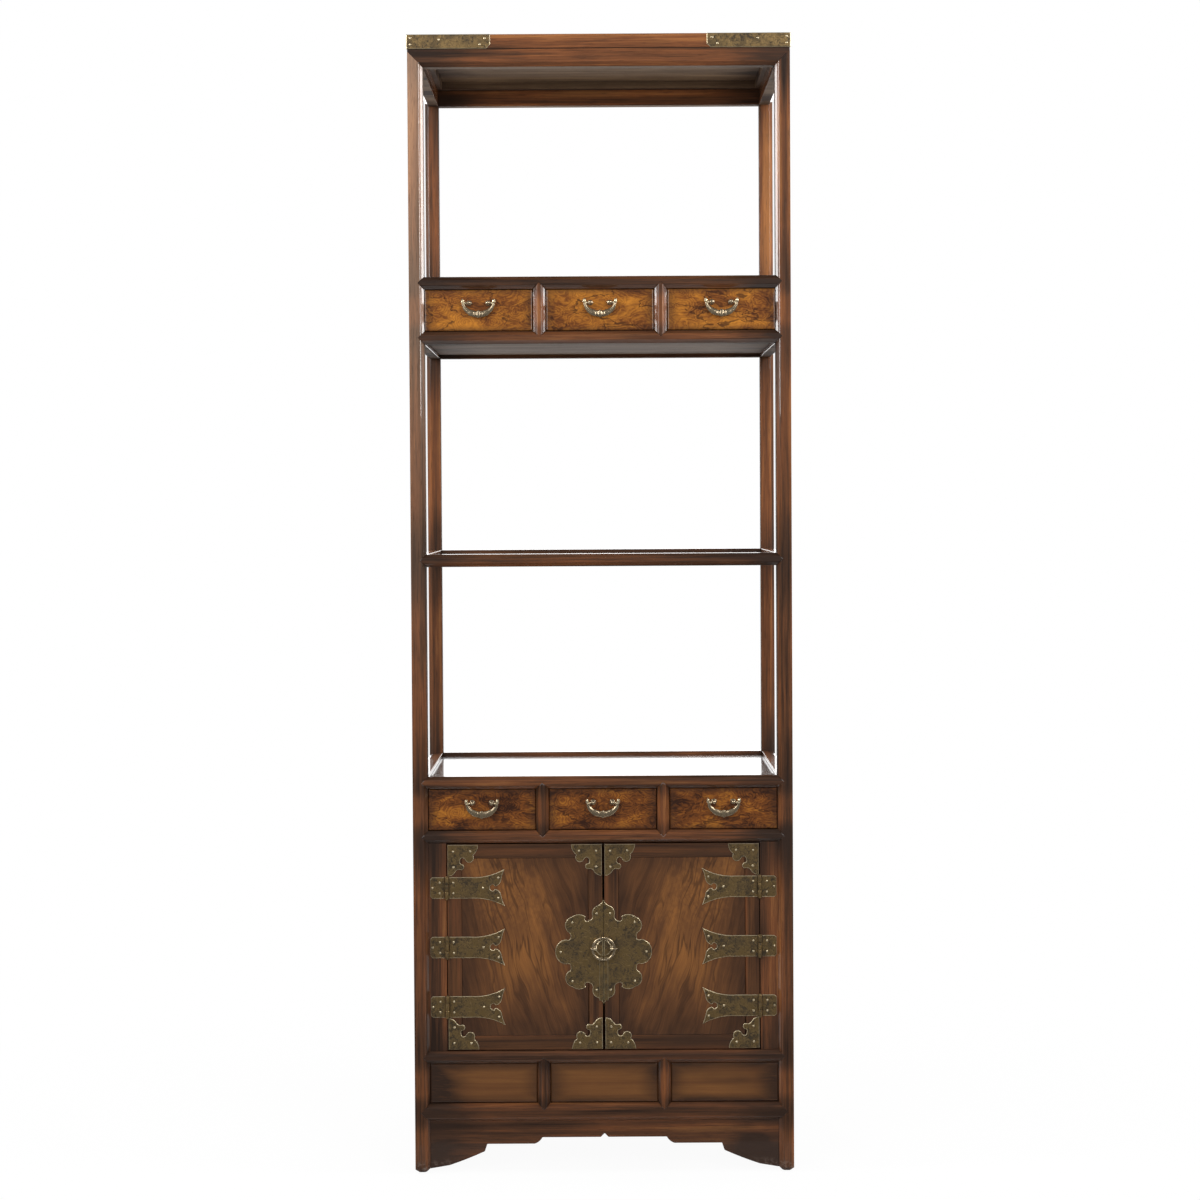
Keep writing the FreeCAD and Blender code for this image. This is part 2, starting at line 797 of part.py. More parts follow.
def jamb_leaf(label):
    """A jamb's leaf: a short plate with cut corners and the middle knuckle."""
    body = new_body(label)
    band = "hinge_band_height/2"
    relief = "-(knuckle_diameter/2 + knuckle_relief)"
    end = "-hinge_jamb_leaf_length"
    half = [
        (relief, f"-{band}"),
        (f"{end} + hinge_corner_cut", f"-{band}"),
        (end, f"hinge_corner_cut - {band}"),
    ]
    pad(body, "XZ_Plane", [with_mirror(half, 1)], "-brass_thickness", "brass_thickness")
    third = "(hinge_band_height/6 - knuckle_gap/2)"
    add_knuckle(body, -1, f"-{third}", third)
    hinge_axis_bore(body)
    return body


def hinge_heights():
    middle = f"{LEVEL['cupboard']} + cupboard_height/2"
    steps = {"low": -1, "middle": 0, "high": 1}
    return {name: f"{middle} + {step}*hinge_spacing" for name, step in steps.items()}


def hinges():
    """Three strap hinges to a door: leaves on jamb and door, and a loose pin."""
    jamb_leaves = []
    pins = []
    straps = []
    for name, side in SIDES:
        turn = ((0, 1, 0), 0 if side < 0 else 180)
        leaves = []
        for place, z in hinge_heights().items():
            x = f"{side}*{HINGE_X}"
            leaves.append(put(strap_leaf(f"{name}_{place}_strap"), x, FACE, z, turn))
            jamb_leaves.append(put(jamb_leaf(f"{name}_{place}_jamb_leaf"), x, FACE, z, turn))
            pin = new_body(f"{name}_{place}_pin")
            outline = regular("0", "-knuckle_standoff", "hinge_pin_diameter", BARREL)
            pad(pin, "XY_Plane", [outline], "-hinge_band_height/2", "hinge_band_height")
            pins.append(put(pin, x, FACE, z))
        straps.append(group(f"{name}_hinge_straps", leaves))
    return [group("hinge_jamb_leaves", jamb_leaves), group("hinge_pins", pins)] + straps


def door(name, side):
    """A door leaf: two stiles, two rails and a flush panel with a fine bevel round it."""
    inner, outer = "door_seam_gap/2", f"(door_seam_gap/2 + {DOOR_WIDTH})"
    bottom = f"({LEVEL['cupboard']} + door_gap)"
    top_edge = f"({bottom} + {DOOR_HEIGHT})"
    stretches = {
        "meeting_stile": (inner, f"{inner} + door_stile_width", bottom, top_edge),
        "hinge_stile": (f"{outer} - door_stile_width", outer, bottom, top_edge),
        "lower_rail": (
            f"{inner} + door_stile_width",
            f"{outer} - door_stile_width",
            bottom,
            f"{bottom} + door_stile_width",
        ),
        "upper_rail": (
            f"{inner} + door_stile_width",
            f"{outer} - door_stile_width",
            f"{top_edge} - door_stile_width",
            top_edge,
        ),
    }
    pieces = []
    for piece, (near_seam, far_edge, low_edge, high_edge) in stretches.items():
        low, high = between(side, near_seam, far_edge)
        corner = (low, FACE, low_edge)
        opposite = (high, f"{FACE} + door_thickness", high_edge)
        pieces.append(box(f"{name}_{piece}", corner, opposite))
    panel = new_body(f"{name}_door_panel")
    low, high = between(side, f"{inner} + door_stile_width", f"{outer} - door_stile_width")
    outline = rectangle(low, f"{bottom} + door_stile_width", high, f"{top_edge} - door_stile_width")
    pad(panel, "XZ_Plane", [outline], FACE, "door_panel_thickness")
    chamfer(panel, "door_panel_bevel", lambda p: near(p.y, FACE))
    return [group(f"{name}_door_frame", pieces), panel, corner_mounts(name, side)] + lock(name, side)


def corner_mounts(name, side):
    """Brass mounts on a door's four corners, lobed towards the panel."""
    inner, outer = "door_seam_gap/2", f"(door_seam_gap/2 + {DOOR_WIDTH})"
    low = f"{LEVEL['cupboard']} + door_gap + corner_mount_inset"
    high = f"{LEVEL['cupboard']} + cupboard_height - door_gap - corner_mount_inset"
    mounts = []
    for across, x, away in (("inner", inner, 1), ("outer", outer, -1)):
        for level, z, up in (("lower", low, 1), ("upper", high, -1)):
            body = new_body(f"{name}_{level}_{across}_mount")
            right = away * side
            length, height = f"{right}*corner_mount_length", f"{up}*corner_mount_height"
            outline = [("0", "0"), (length, "0")] + shares(MOUNT_LOBES, length, height)
            pad(body, "XZ_Plane", [outline], "-brass_thickness", "brass_thickness")
            inset = f"{right}*corner_mount_inset"
            mounts.append(put(body, f"{side}*({x}) + {inset}", FACE, z))
    return group(f"{name}_corner_mounts", mounts)


def lock(name, side):
    """Half of the lobed plate, its half of the strip over the seam, the eye and half of the ring."""
    middle = f"{LEVEL['cupboard']} + cupboard_height/2 - lock_drop"
    plate = new_body(f"{name}_lock_plate")
    width, height = f"{side}*lock_plate_width/2", "lock_plate_height/2"
    seam = f"{side}*lock_plate_seam/2"
    half = [(seam, height)] + shares(LOCK_LOBES, width, height)
    pad(plate, "XZ_Plane", [with_mirror(half, 1)], "-brass_thickness", "brass_thickness")
    bottom, top_edge = (f"{share}*{height}" for share in SEAM_STRIP)
    strip = rectangle(seam, bottom, f"{side}*seam_strip_width", top_edge)
    strip_front = "-brass_thickness - seam_strip_thickness"
    pad(plate, "XZ_Plane", [strip], strip_front, "seam_strip_thickness")
    put(plate, "0", FACE, middle)

    eye = new_body(f"{name}_lock_eye")
    axis = "-ring_standoff"
    pad(eye, "XZ_Plane", [regular("0", "0", "eye_neck", TURNED)], axis, "ring_standoff")
    pad(eye, "XY_Plane", [regular("0", axis, "eye_diameter", TURNED)], "-eye_length/2", "eye_length")
    pocket(eye, "XY_Plane", [regular("0", axis, "eye_bore", TURNED)], "-eye_neck", "2*eye_neck")
    surface = f"{FACE} - brass_thickness"
    rise = f"{middle} + ring_rise"
    put(eye, f"{side}*ring_radius", surface, rise)

    ring = new_body(f"{name}_ring_half")
    rim = regular("0", "0", "2*ring_radius + ring_wire", RING)
    hole = regular("0", "0", "2*ring_radius - ring_wire", RING)
    pad(ring, "XZ_Plane", [rim, hole], "-ring_wire/2", "ring_wire")
    for face in ("-ring_wire/2", "ring_wire/2"):
        chamfer(ring, "ring_wire*(1 - 1/sqrt(2))", lambda p: near(p.y, face))
    reach = "(2*ring_radius)"
    other_half = rectangle(f"-{reach}", f"-{reach}", "ring_seam/2", reach)
    pocket(ring, "XZ_Plane", [other_half], "-ring_wire", "2*ring_wire")
    turn = ((0, 1, 0), 0 if side > 0 else 180)
    put(ring, "0", f"{surface} - ring_standoff", rise, turn)
    return [plate, eye, ring]


def drawer(row, column):
    """A drawer box: a bevelled front, two sides, a back and a bottom held between them."""
    label = f"{row.removesuffix('_drawers')}_{column}"
    left, right = cell_edges(column)
    floor = LEVEL[row]
    front = new_body(f"{label}_drawer_front")
    outline = rectangle(
        f"{left} + drawer_front_gap",
        f"{floor} + drawer_front_gap",
        f"{right} - drawer_front_gap",
        f"{floor} + {HEIGHT[row]} - drawer_front_gap",
    )
    pad(front, "XZ_Plane", [outline], FACE, "drawer_front_thickness")
    chamfer(front, "drawer_front_bevel", lambda p: near(p.y, FACE))
    start = f"{FACE} + drawer_front_thickness"
    end = f"{FACE} + drawer_length"
    bottom = f"{floor} + drawer_lift"
    top_edge = f"{bottom} + drawer_side_height"
    outer = (f"{left} + drawer_side_clearance", f"{right} - drawer_side_clearance")
    inner = (f"{outer[0]} + drawer_side_thickness", f"{outer[1]} - drawer_side_thickness")
    rear = f"{end} - drawer_side_thickness"
    board = f"{bottom} + drawer_bottom_rise"
    board_top = f"{board} + drawer_bottom_thickness"
    pieces = [
        front,
        box(f"{label}_left_side", (outer[0], start, bottom), (inner[0], end, top_edge)),
        box(f"{label}_right_side", (inner[1], start, bottom), (outer[1], end, top_edge)),
        box(f"{label}_rear", (inner[0], rear, board), (inner[1], end, top_edge)),
        box(f"{label}_bottom", (inner[0], start, board), (inner[1], rear, board_top)),
    ]
    x = f"({left} + {CELL}/2)"
    z = f"({floor} + {HEIGHT[row]}/2 + pull_rise)"
    return [group(f"{label}_drawer", pieces), pull_posts(label, x, z), bail(label, x, z)]


def pull_posts(label, x, z):
    """Two posts with bored heads that carry a bail, each on a round foot."""
    posts = []
    for name, side in SIDES:
        body = new_body(f"{label}_{name}_pull_post")
        foot = regular("0", "0", "pull_foot_diameter", TURNED)
        pad(body, "XZ_Plane", [foot], "-pull_foot_thickness", "pull_foot_thickness")
        pad(body, "XZ_Plane", [regular("0", "0", "pull_neck", TURNED)], "-pull_standoff", "pull_standoff")
        head = regular("-pull_standoff", "0", "pull_head_diameter", TURNED)
        pad(body, "YZ_Plane", [head], "-pull_head_length/2", "pull_head_length")
        bore = f"{corner_to_corner('bail_pin_diameter', TURNED)} + 2*bail_pin_clearance"
        outline = regular("-pull_standoff", "0", bore, TURNED)
        pocket(body, "YZ_Plane", [outline], "-pull_head_length/2", "pull_head_length")
        posts.append(put(body, f"{x} + {side}*pull_spacing/2", FACE, z))
    return group(f"{label}_pull_posts", posts)


def bail(label, x, z):
    """A crescent drop handle with turned-up horns, a boss at its middle and two inward pins."""
    body = new_body(f"{label}_bail")
    reach = "bail_width/2"
    inside = "(bail_width/2 - bail_horn)"
    horn = "(bail_width/2 - bail_horn/2)"
    belly = "(bail_drop - bail_belly)"
    outline = round_stretch("0", "0", reach, "bail_drop", 180, 360, BAIL_STEPS)
    outline += round_stretch(horn, "0", "bail_horn/2", "bail_horn_rise", 0, 180, HORN_STEPS)[1:]
    outline += round_stretch("0", "0", inside, belly, 360, 180, BAIL_STEPS)[1:]
    outline += round_stretch(f"-{horn}", "0", "bail_horn/2", "bail_horn_rise", 0, 180, HORN_STEPS)[1:-1]
    pad(body, "XZ_Plane", [outline], "-bail_thickness/2", "bail_thickness")
    boss = regular("0", "bail_belly/2 - bail_drop", "bail_boss_diameter", TURNED)
    pad(body, "XZ_Plane", [boss], "-bail_thickness/2 - bail_boss_height", "bail_boss_height")
    tip = "(pull_spacing/2 - pull_head_length/2)"
    pin = regular("0", "0", "bail_pin_diameter", TURNED)
    for start in (tip, f"-{horn}"):
        pad(body, "YZ_Plane", [pin], start, f"{horn} - {tip}")
    return put(body, x, f"{FACE} - pull_standoff", z)


def build():
    """Make every sub-part of the cabinet, one object to a file."""
    parts = [
        post("front_left_post", "-cabinet_width/2", "-cabinet_depth/2", 0),
        post("front_right_post", "cabinet_width/2", "-cabinet_depth/2", 90),
        post("rear_right_post", "cabinet_width/2", "cabinet_depth/2", 180),
        post("rear_left_post", "-cabinet_width/2", "cabinet_depth/2", 270),
    ]
    parts += rails() + [muntins()] + top()
    parts += [
        shelf("upper_shelf_panel", "upper_shelf_rail", "shelf_recess"),
        shelf("upper_drawer_floor", "upper_drawer_rail", "0", "rail_height - shelf_recess"),
        shelf("middle_shelf_panel", "middle_rail", "shelf_recess"),
        shelf("counter_panel", "counter_rail", "shelf_recess"),
        shelf("lower_drawer_floor", "lower_drawer_rail", "0"),
        shelf("cupboard_floor", "cupboard_rail", "0"),
    ]
    parts += [side_panels(), back_panels(), base_panels(), drawer_partitions(), drawer_guides()]
    parts += aprons() + door_jambs() + hinges()
    for name, side in SIDES:
        parts += door(name, side)
    for row in DRAWER_ROWS:
        for column in COLUMNS:
            parts += drawer(row, column)
    return parts


def check(parts):
    """Stop before anything is written if an object failed or a sub-part has no sound solid."""
    for item in doc.Objects:
        if "Invalid" in item.State or "Error" in item.State:
            raise RuntimeError(f"{item.Label} failed: {item.State}")
    for feature in pockets:
        if feature.Shape.Volume >= feature.BaseFeature.Shape.Volume:
            raise RuntimeError(f"{feature.Label} cuts nothing")
    for part in parts:
        if part.Shape.isNull() or not part.Shape.isValid() or not part.Shape.Solids:
            raise RuntimeError(f"{part.Label} has no valid solid")


sub_parts = build()
doc.recompute()
check(sub_parts)
os.makedirs("parts", exist_ok=True)
for sub_part in sub_parts:
    sub_part.Shape.exportStep(f"parts/{sub_part.Label}.step")
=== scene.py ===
import json
import math

import bmesh
import bpy
from bpy.props import FloatProperty, FloatVectorProperty, PointerProperty
from bpy.types import Operator, Panel, PropertyGroup
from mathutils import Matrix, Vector


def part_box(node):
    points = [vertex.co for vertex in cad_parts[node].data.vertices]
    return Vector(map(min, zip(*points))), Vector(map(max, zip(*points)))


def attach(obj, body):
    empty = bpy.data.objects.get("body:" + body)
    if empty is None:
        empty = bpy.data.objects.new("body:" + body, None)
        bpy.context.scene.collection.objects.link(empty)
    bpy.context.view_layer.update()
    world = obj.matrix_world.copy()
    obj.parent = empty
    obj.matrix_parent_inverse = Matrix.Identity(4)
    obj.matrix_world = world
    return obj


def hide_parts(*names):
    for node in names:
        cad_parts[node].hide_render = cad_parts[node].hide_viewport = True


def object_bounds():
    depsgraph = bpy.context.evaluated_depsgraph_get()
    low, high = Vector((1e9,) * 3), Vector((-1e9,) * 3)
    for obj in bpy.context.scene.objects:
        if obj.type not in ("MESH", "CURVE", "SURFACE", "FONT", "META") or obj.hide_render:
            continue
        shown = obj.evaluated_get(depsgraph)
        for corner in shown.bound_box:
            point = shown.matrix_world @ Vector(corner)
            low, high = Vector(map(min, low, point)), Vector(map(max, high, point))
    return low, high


bl_info = {
    "name": "Brass-mounted display cabinet",
    "version": (1, 0, 0),
    "blender": (4, 5, 0),
    "location": "View3D > Sidebar > Cabinet",
    "description": "Finishes the wood and brass of a tall display cabinet and sets it on a pale stage",
    "category": "Object",
}

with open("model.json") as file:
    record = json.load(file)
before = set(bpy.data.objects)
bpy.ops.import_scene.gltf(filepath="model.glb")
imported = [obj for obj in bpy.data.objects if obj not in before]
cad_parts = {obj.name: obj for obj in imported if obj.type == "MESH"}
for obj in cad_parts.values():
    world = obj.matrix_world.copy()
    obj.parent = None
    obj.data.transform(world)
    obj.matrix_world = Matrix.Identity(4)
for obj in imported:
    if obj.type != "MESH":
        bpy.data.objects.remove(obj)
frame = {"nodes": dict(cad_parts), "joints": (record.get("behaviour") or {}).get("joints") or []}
CAD_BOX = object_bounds()
NODES = frame["nodes"]
JOINTS = {joint["name"]: joint for joint in frame["joints"]}
SIDES = {"left": -1, "right": 1}
COLUMNS = ("left", "centre", "right")
AXES = "XYZ"
MM = 0.001

# The rows of drawers, and how golden the burl of each is
ROWS = {"upper": 0.03, "lower": -0.05}

# Thickness of a drawer's front and height of the top rails, in millimetres
DRAWER_FRONT = 16
TOP_RAIL = 27


def paint(red, green, blue):
    """A colour as it looks on a screen, turned into the linear numbers that a shader takes."""

    def linear(level):
        level /= 255
        return level / 12.92 if level <= 0.04045 else ((level + 0.055) / 1.055) ** 2.4

    return linear(red), linear(green), linear(blue)


def colour(name, description, *level):
    return FloatVectorProperty(
        name=name, description=description, subtype="COLOR", size=3, min=0, max=1, default=paint(*level)
    )


def number(name, description, default, **kind):
    return FloatProperty(name=name, description=description, default=default, **kind)


def length(name, description, size):
    """A small size, given in millimetres."""
    return number(name, description, size * MM, subtype="DISTANCE", unit="LENGTH", min=0)


def factor(name, description, default):
    return number(name, description, default, subtype="FACTOR", min=0, max=1)


class CabinetFinish(PropertyGroup):
    """Colours and polish of the wood and the brass."""

    frame_dark: colour("Frame shade", "Darkest grain of the posts and rails", 40, 25, 16)
    frame_mid: colour("Frame brown", "Body colour of the posts and rails", 84, 53, 33)
    frame_light: colour("Frame red", "Redder grain of the posts and rails", 124, 74, 42)
    frame_amber: colour("Frame amber", "Palest streaks of the posts and rails", 166, 108, 60)
    # This colour is old polish in patches, and also painted shade by the joints, low down and round the
    # edges of panels and drawer fronts
    smoke: colour("Smoke", "Old dark polish in patches and corners", 50, 34, 25)
    scuff: colour("Scuff", "Bare wood at the worn feet", 124, 108, 98)
    # A painted sheen: the paler colour that stands for light on the uprights at the front left
    bleach: colour("Bleach", "Uprights at the front left where daylight has paled them", 196, 164, 138)
    burl_dark: colour("Burl vein", "Dark veins of the drawer fronts", 52, 26, 12)
    burl_mid: colour("Burl brown", "Body colour of the drawer fronts", 120, 68, 26)
    burl_light: colour("Burl gold", "Golden figure of the drawer fronts", 190, 122, 40)
    panel_dark: colour("Panel line", "Dark lines in the doors", 52, 32, 20)
    panel_mid: colour("Panel brown", "Body colour of the doors and base panels", 96, 61, 35)
    base_glow: colour("Base glow", "Middles of the base panels", 124, 82, 44)
    panel_light: colour("Panel flame", "Golden flame of the door panels", 148, 96, 48)
    under_dark: colour("Underside shade", "Grain of the dull undersides", 84, 64, 49)
    under_light: colour("Underside", "Body colour of the dull undersides", 140, 114, 86)
    inner_dark: colour("Inner shade", "Grain of the boards inside", 104, 72, 46)
    inner_light: colour("Inner wood", "Body colour of the boards inside", 152, 112, 74)
    brass_field: colour("Brass", "Aged face of the plates", 152, 126, 84)
    brass_patina: colour("Patina", "Dark olive bloom on the plates", 68, 56, 39)
    # Rubbed bright, and lighter still as a painted highlight along the plates' rims
    brass_bright: colour("Bright brass", "Rubbed edges of the plates", 210, 194, 160)
    # Rubbed bright, and pale as a painted highlight on the tacks and balls
    brass_bead: colour("Polished brass", "Tacks and balls, rubbed bright", 222, 206, 172)
    brass_cast: colour("Cast brass", "Bails, posts and ring", 178, 160, 132)
    polish: factor("Polish", "Clear polish over the wood", 0.8)
    edge: length("Edge", "Rounding of the wood's edges", 0.8)


class CabinetFittings(PropertyGroup):
    """Sizes of the detail on the brass."""

    rim: length("Rim", "Width of the rubbed edge of a plate", 0.8)
    tack_radius: length("Tack radius", "Half the width of a tack's head", 1.9)
    tack_height: length("Tack height", "How far a tack's head stands up", 1.2)


class CabinetStage(PropertyGroup):
    """Camera and light."""

    camera_distance: number("Distance", "Camera to the middle of the cabinet", 3.441, unit="LENGTH")
    camera_aside: number("Aside", "How far the camera stands to the right", -0.0016, unit="LENGTH")
    camera_height: number("Height", "Camera above the floor", 1.0395, unit="LENGTH")
    camera_pitch: number("Pitch", "How far the camera looks down", 0.021, subtype="ANGLE")
    camera_roll: number("Roll", "How far the camera leans to the right", 0.0058, subtype="ANGLE")
    camera_lens: number("Lens", "Focal length on a 36 mm sensor", 63.3, subtype="DISTANCE_CAMERA")
    camera_shift: number("Shift", "How far the view is moved up, as a share of its width", -0.0423)
    front_light: number("Front light", "Power of each lamp in front", 36, unit="POWER")
    side_light: number("Side light", "Power of each lamp at the side", 26, unit="POWER")
    back_light: number("Back light", "Power of the wide lamp behind", 40, unit="POWER")
    ambient: factor("Ambient", "Light from all round", 0.45)
    room: factor("Room", "Brightness that polish and metal mirror from the room in front", 0.15)


def finish_of(context):
    return context.scene.cabinet_finish


class Field:
    """A value that changes over a surface: an output socket that takes part in arithmetic."""

    def __init__(self, shader, socket):
        self.shader = shader
        self.socket = socket

    def math(self, operation, *values):
        sockets = dict(enumerate(values))
        return self.shader.node("ShaderNodeMath", {"operation": operation}, sockets)

    def __add__(self, other):
        return self.math("ADD", self, other)

    def __radd__(self, other):
        return self.math("ADD", other, self)

    def __sub__(self, other):
        return self.math("SUBTRACT", self, other)

    def __rsub__(self, other):
        return self.math("SUBTRACT", other, self)

    def __mul__(self, other):
        return self.math("MULTIPLY", self, other)

    def __rmul__(self, other):
        return self.math("MULTIPLY", other, self)

    def __truediv__(self, other):
        return self.math("DIVIDE", self, other)

    def __rtruediv__(self, other):
        return self.math("DIVIDE", other, self)

    def __abs__(self):
        return self.math("ABSOLUTE", self)

    def over(self, other):
        return self.math("MAXIMUM", self, other)

    def off_centre(self):
        """From 0 at a half to 1 at both ends of a share."""
        return abs(self - 0.5) * 2

    def step(self, low, high):
        """Rise smoothly from 0 at low to 1 at high, or fall where low is above high."""
        down = low > high
        rise = self.shader.node(
            "ShaderNodeMapRange",
            {"interpolation_type": "SMOOTHSTEP", "clamp": True},
            {"Value": self, "From Min": min(low, high), "From Max": max(low, high)},
        )
        return 1 - rise if down else rise


class Graph:
    """A node tree under construction."""

    def __init__(self, tree):
        self.tree = tree

    def node(self, kind, settings=None, sockets=None, output=0):
        """Add a node: its settings first, then the values or links of its sockets."""
        node = self.tree.nodes.new(kind)
        for name, value in (settings or {}).items():
            if name == "stops":
                self.set_stops(node.color_ramp, value)
            else:
                setattr(node, name, value)
        for key, value in (sockets or {}).items():
            self.feed(node.inputs[key], value)
        return Field(self, node.outputs[output])

    def set_stops(self, ramp, stops):
        while len(ramp.elements) < len(stops):
            ramp.elements.new(0.5)
        for element, (place, value) in zip(ramp.elements, stops):
            element.position = place
            element.color = (*value, 1)

    def feed(self, socket, value):
        if isinstance(value, Field):
            self.tree.links.new(value.socket, socket)
        elif socket.type == "RGBA" and len(value) == 3:
            socket.default_value = (*value, 1)
        else:
            socket.default_value = value

    def ray(self, kind):
        return self.node("ShaderNodeLightPath", output=f"Is {kind} Ray")

    def place(self):
        return self.node("ShaderNodeTexCoord", output="Object")

    def share(self):
        return self.node("ShaderNodeTexCoord", output="Generated")

    def part(self, vector, axis):
        return self.node("ShaderNodeSeparateXYZ", {}, {0: vector}, output=AXES.index(axis))

    def vector(self, operation, *values, output=0):
        settings = {"operation": operation}
        return self.node("ShaderNodeVectorMath", settings, dict(enumerate(values)), output)

    def noise(self, vector, scale, detail=3.0, roughness=0.55, output=0):
        values = {
            "Vector": self.vector("MULTIPLY", vector, scale),
            "Scale": 1.0,
            "Detail": detail,
            "Roughness": roughness,
        }
        return self.node("ShaderNodeTexNoise", {}, values, output)

    def warp(self, vector, scale, amount, detail=2.0):
        """Push a place about by slow noise."""
        push = self.noise(vector, scale, detail, output=1)
        centred = self.vector("SUBTRACT", push, (0.5, 0.5, 0.5))
        return self.vector("ADD", vector, self.vector("MULTIPLY", centred, amount))

    def cells(self, vector, scale):
        """The distance to the nearest of many scattered points."""
        spread = self.vector("MULTIPLY", vector, scale)
        return self.node("ShaderNodeTexVoronoi", {}, {"Vector": spread, "Scale": 1.0}, "Distance")

    def ramp(self, value, stops):
        return self.node("ShaderNodeValToRGB", {"stops": stops}, {0: value})

    def mix(self, share, first, second):
        settings = {"data_type": "RGBA"}
        return self.node("ShaderNodeMix", settings, {0: share, 6: first, 7: second}, output=2)

    def bump(self, height, distance, strength=0.5):
        values = {"Strength": strength, "Distance": distance, "Height": height}
        return self.node("ShaderNodeBump", {}, values)


class Shader(Graph):
    """A material under construction."""

    def __init__(self, name):
        self.material = bpy.data.materials.new(name)
        self.material.use_nodes = True
        super().__init__(self.material.node_tree)
        self.surface = self.tree.nodes["Principled BSDF"]

    def set(self, **sockets):
        """Give the surface its values; spaces in socket names are written as underscores."""
        for name, value in sockets.items():
            self.feed(self.surface.inputs[name.replace("_", " ")], value)


def stretched(axis, across, along):
    """Scales for noise that runs along one axis."""
    return tuple(along if name == axis else across for name in AXES)


def clear_stretches():
    """Heights of the stretches of a post between its rails, from the floor up."""

    def low(node):
        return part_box(node)[0].z

    def high(node):
        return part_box(node)[1].z

    return (
        (0, high("front_apron")),
        (low("base_panels"), high("base_panels")),
        (low("left_door_frame"), high("left_door_frame")),
        (low("lower_left_drawer"), high("lower_left_drawer")),
        (high("counter_panel"), low("middle_shelf_panel")),
        (high("middle_shelf_panel"), low("upper_drawer_floor")),
        (low("upper_left_drawer"), high("upper_left_drawer")),
        (high("upper_shelf_panel"), low("top_frame") - TOP_RAIL * MM),
    )


def clear_of_joints(shader, axis):
    """1 in the middle of the stretches between joints, falling to 0 where members meet."""
    run = shader.part(shader.place(), axis)
    if axis != "Z":
        reach = CAD_BOX[1][AXES.index(axis)]
        return abs(run).step(reach * 0.92, reach * 0.6)
    tall = CAD_BOX[1].z
    stops = []
    for low, high in clear_stretches():
        ease = (high - low) * 0.25
        for height, level in ((low, 0), (low + ease, 1), (high - ease, 1), (high, 0)):
            stops.append((height / tall, (level, level, level)))
    return shader.ramp(run / tall, stops)


def behind_front(shader):
    """How far a place lies behind the front of the posts."""
    return shader.part(shader.place(), "Y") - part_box("front_left_post")[0].y


def sheen(shader, height):
    """A painted sheen: how far the uprights at the front left are paled, more towards their tops."""
    leftward = shader.part(shader.place(), "X").step(-0.2, -0.28)
    return height.step(0.6, 1.7) * leftward * behind_front(shader).step(0.2, 0.1)


def rubbed_arris(shader):
    """1 on a narrow strip of the uprights' bevels, where the polish is rubbed away."""
    behind = behind_front(shader)
    return behind.step(0.0004, 0.0008) * behind.step(0.003, 0.0022)


def varnished(shader, shade, roughness, polish, mirror, relief, depth):
    """A finished wood: its colour and roughness under clear polish, and the relief of its grain."""
    shader.set(
        Base_Color=shade,
        Roughness=roughness,
        Specular_IOR_Level=0.15,
        Coat_Weight=polish,
        Coat_Roughness=mirror,
        Normal=shader.bump(relief, depth),
    )
    return shader.material


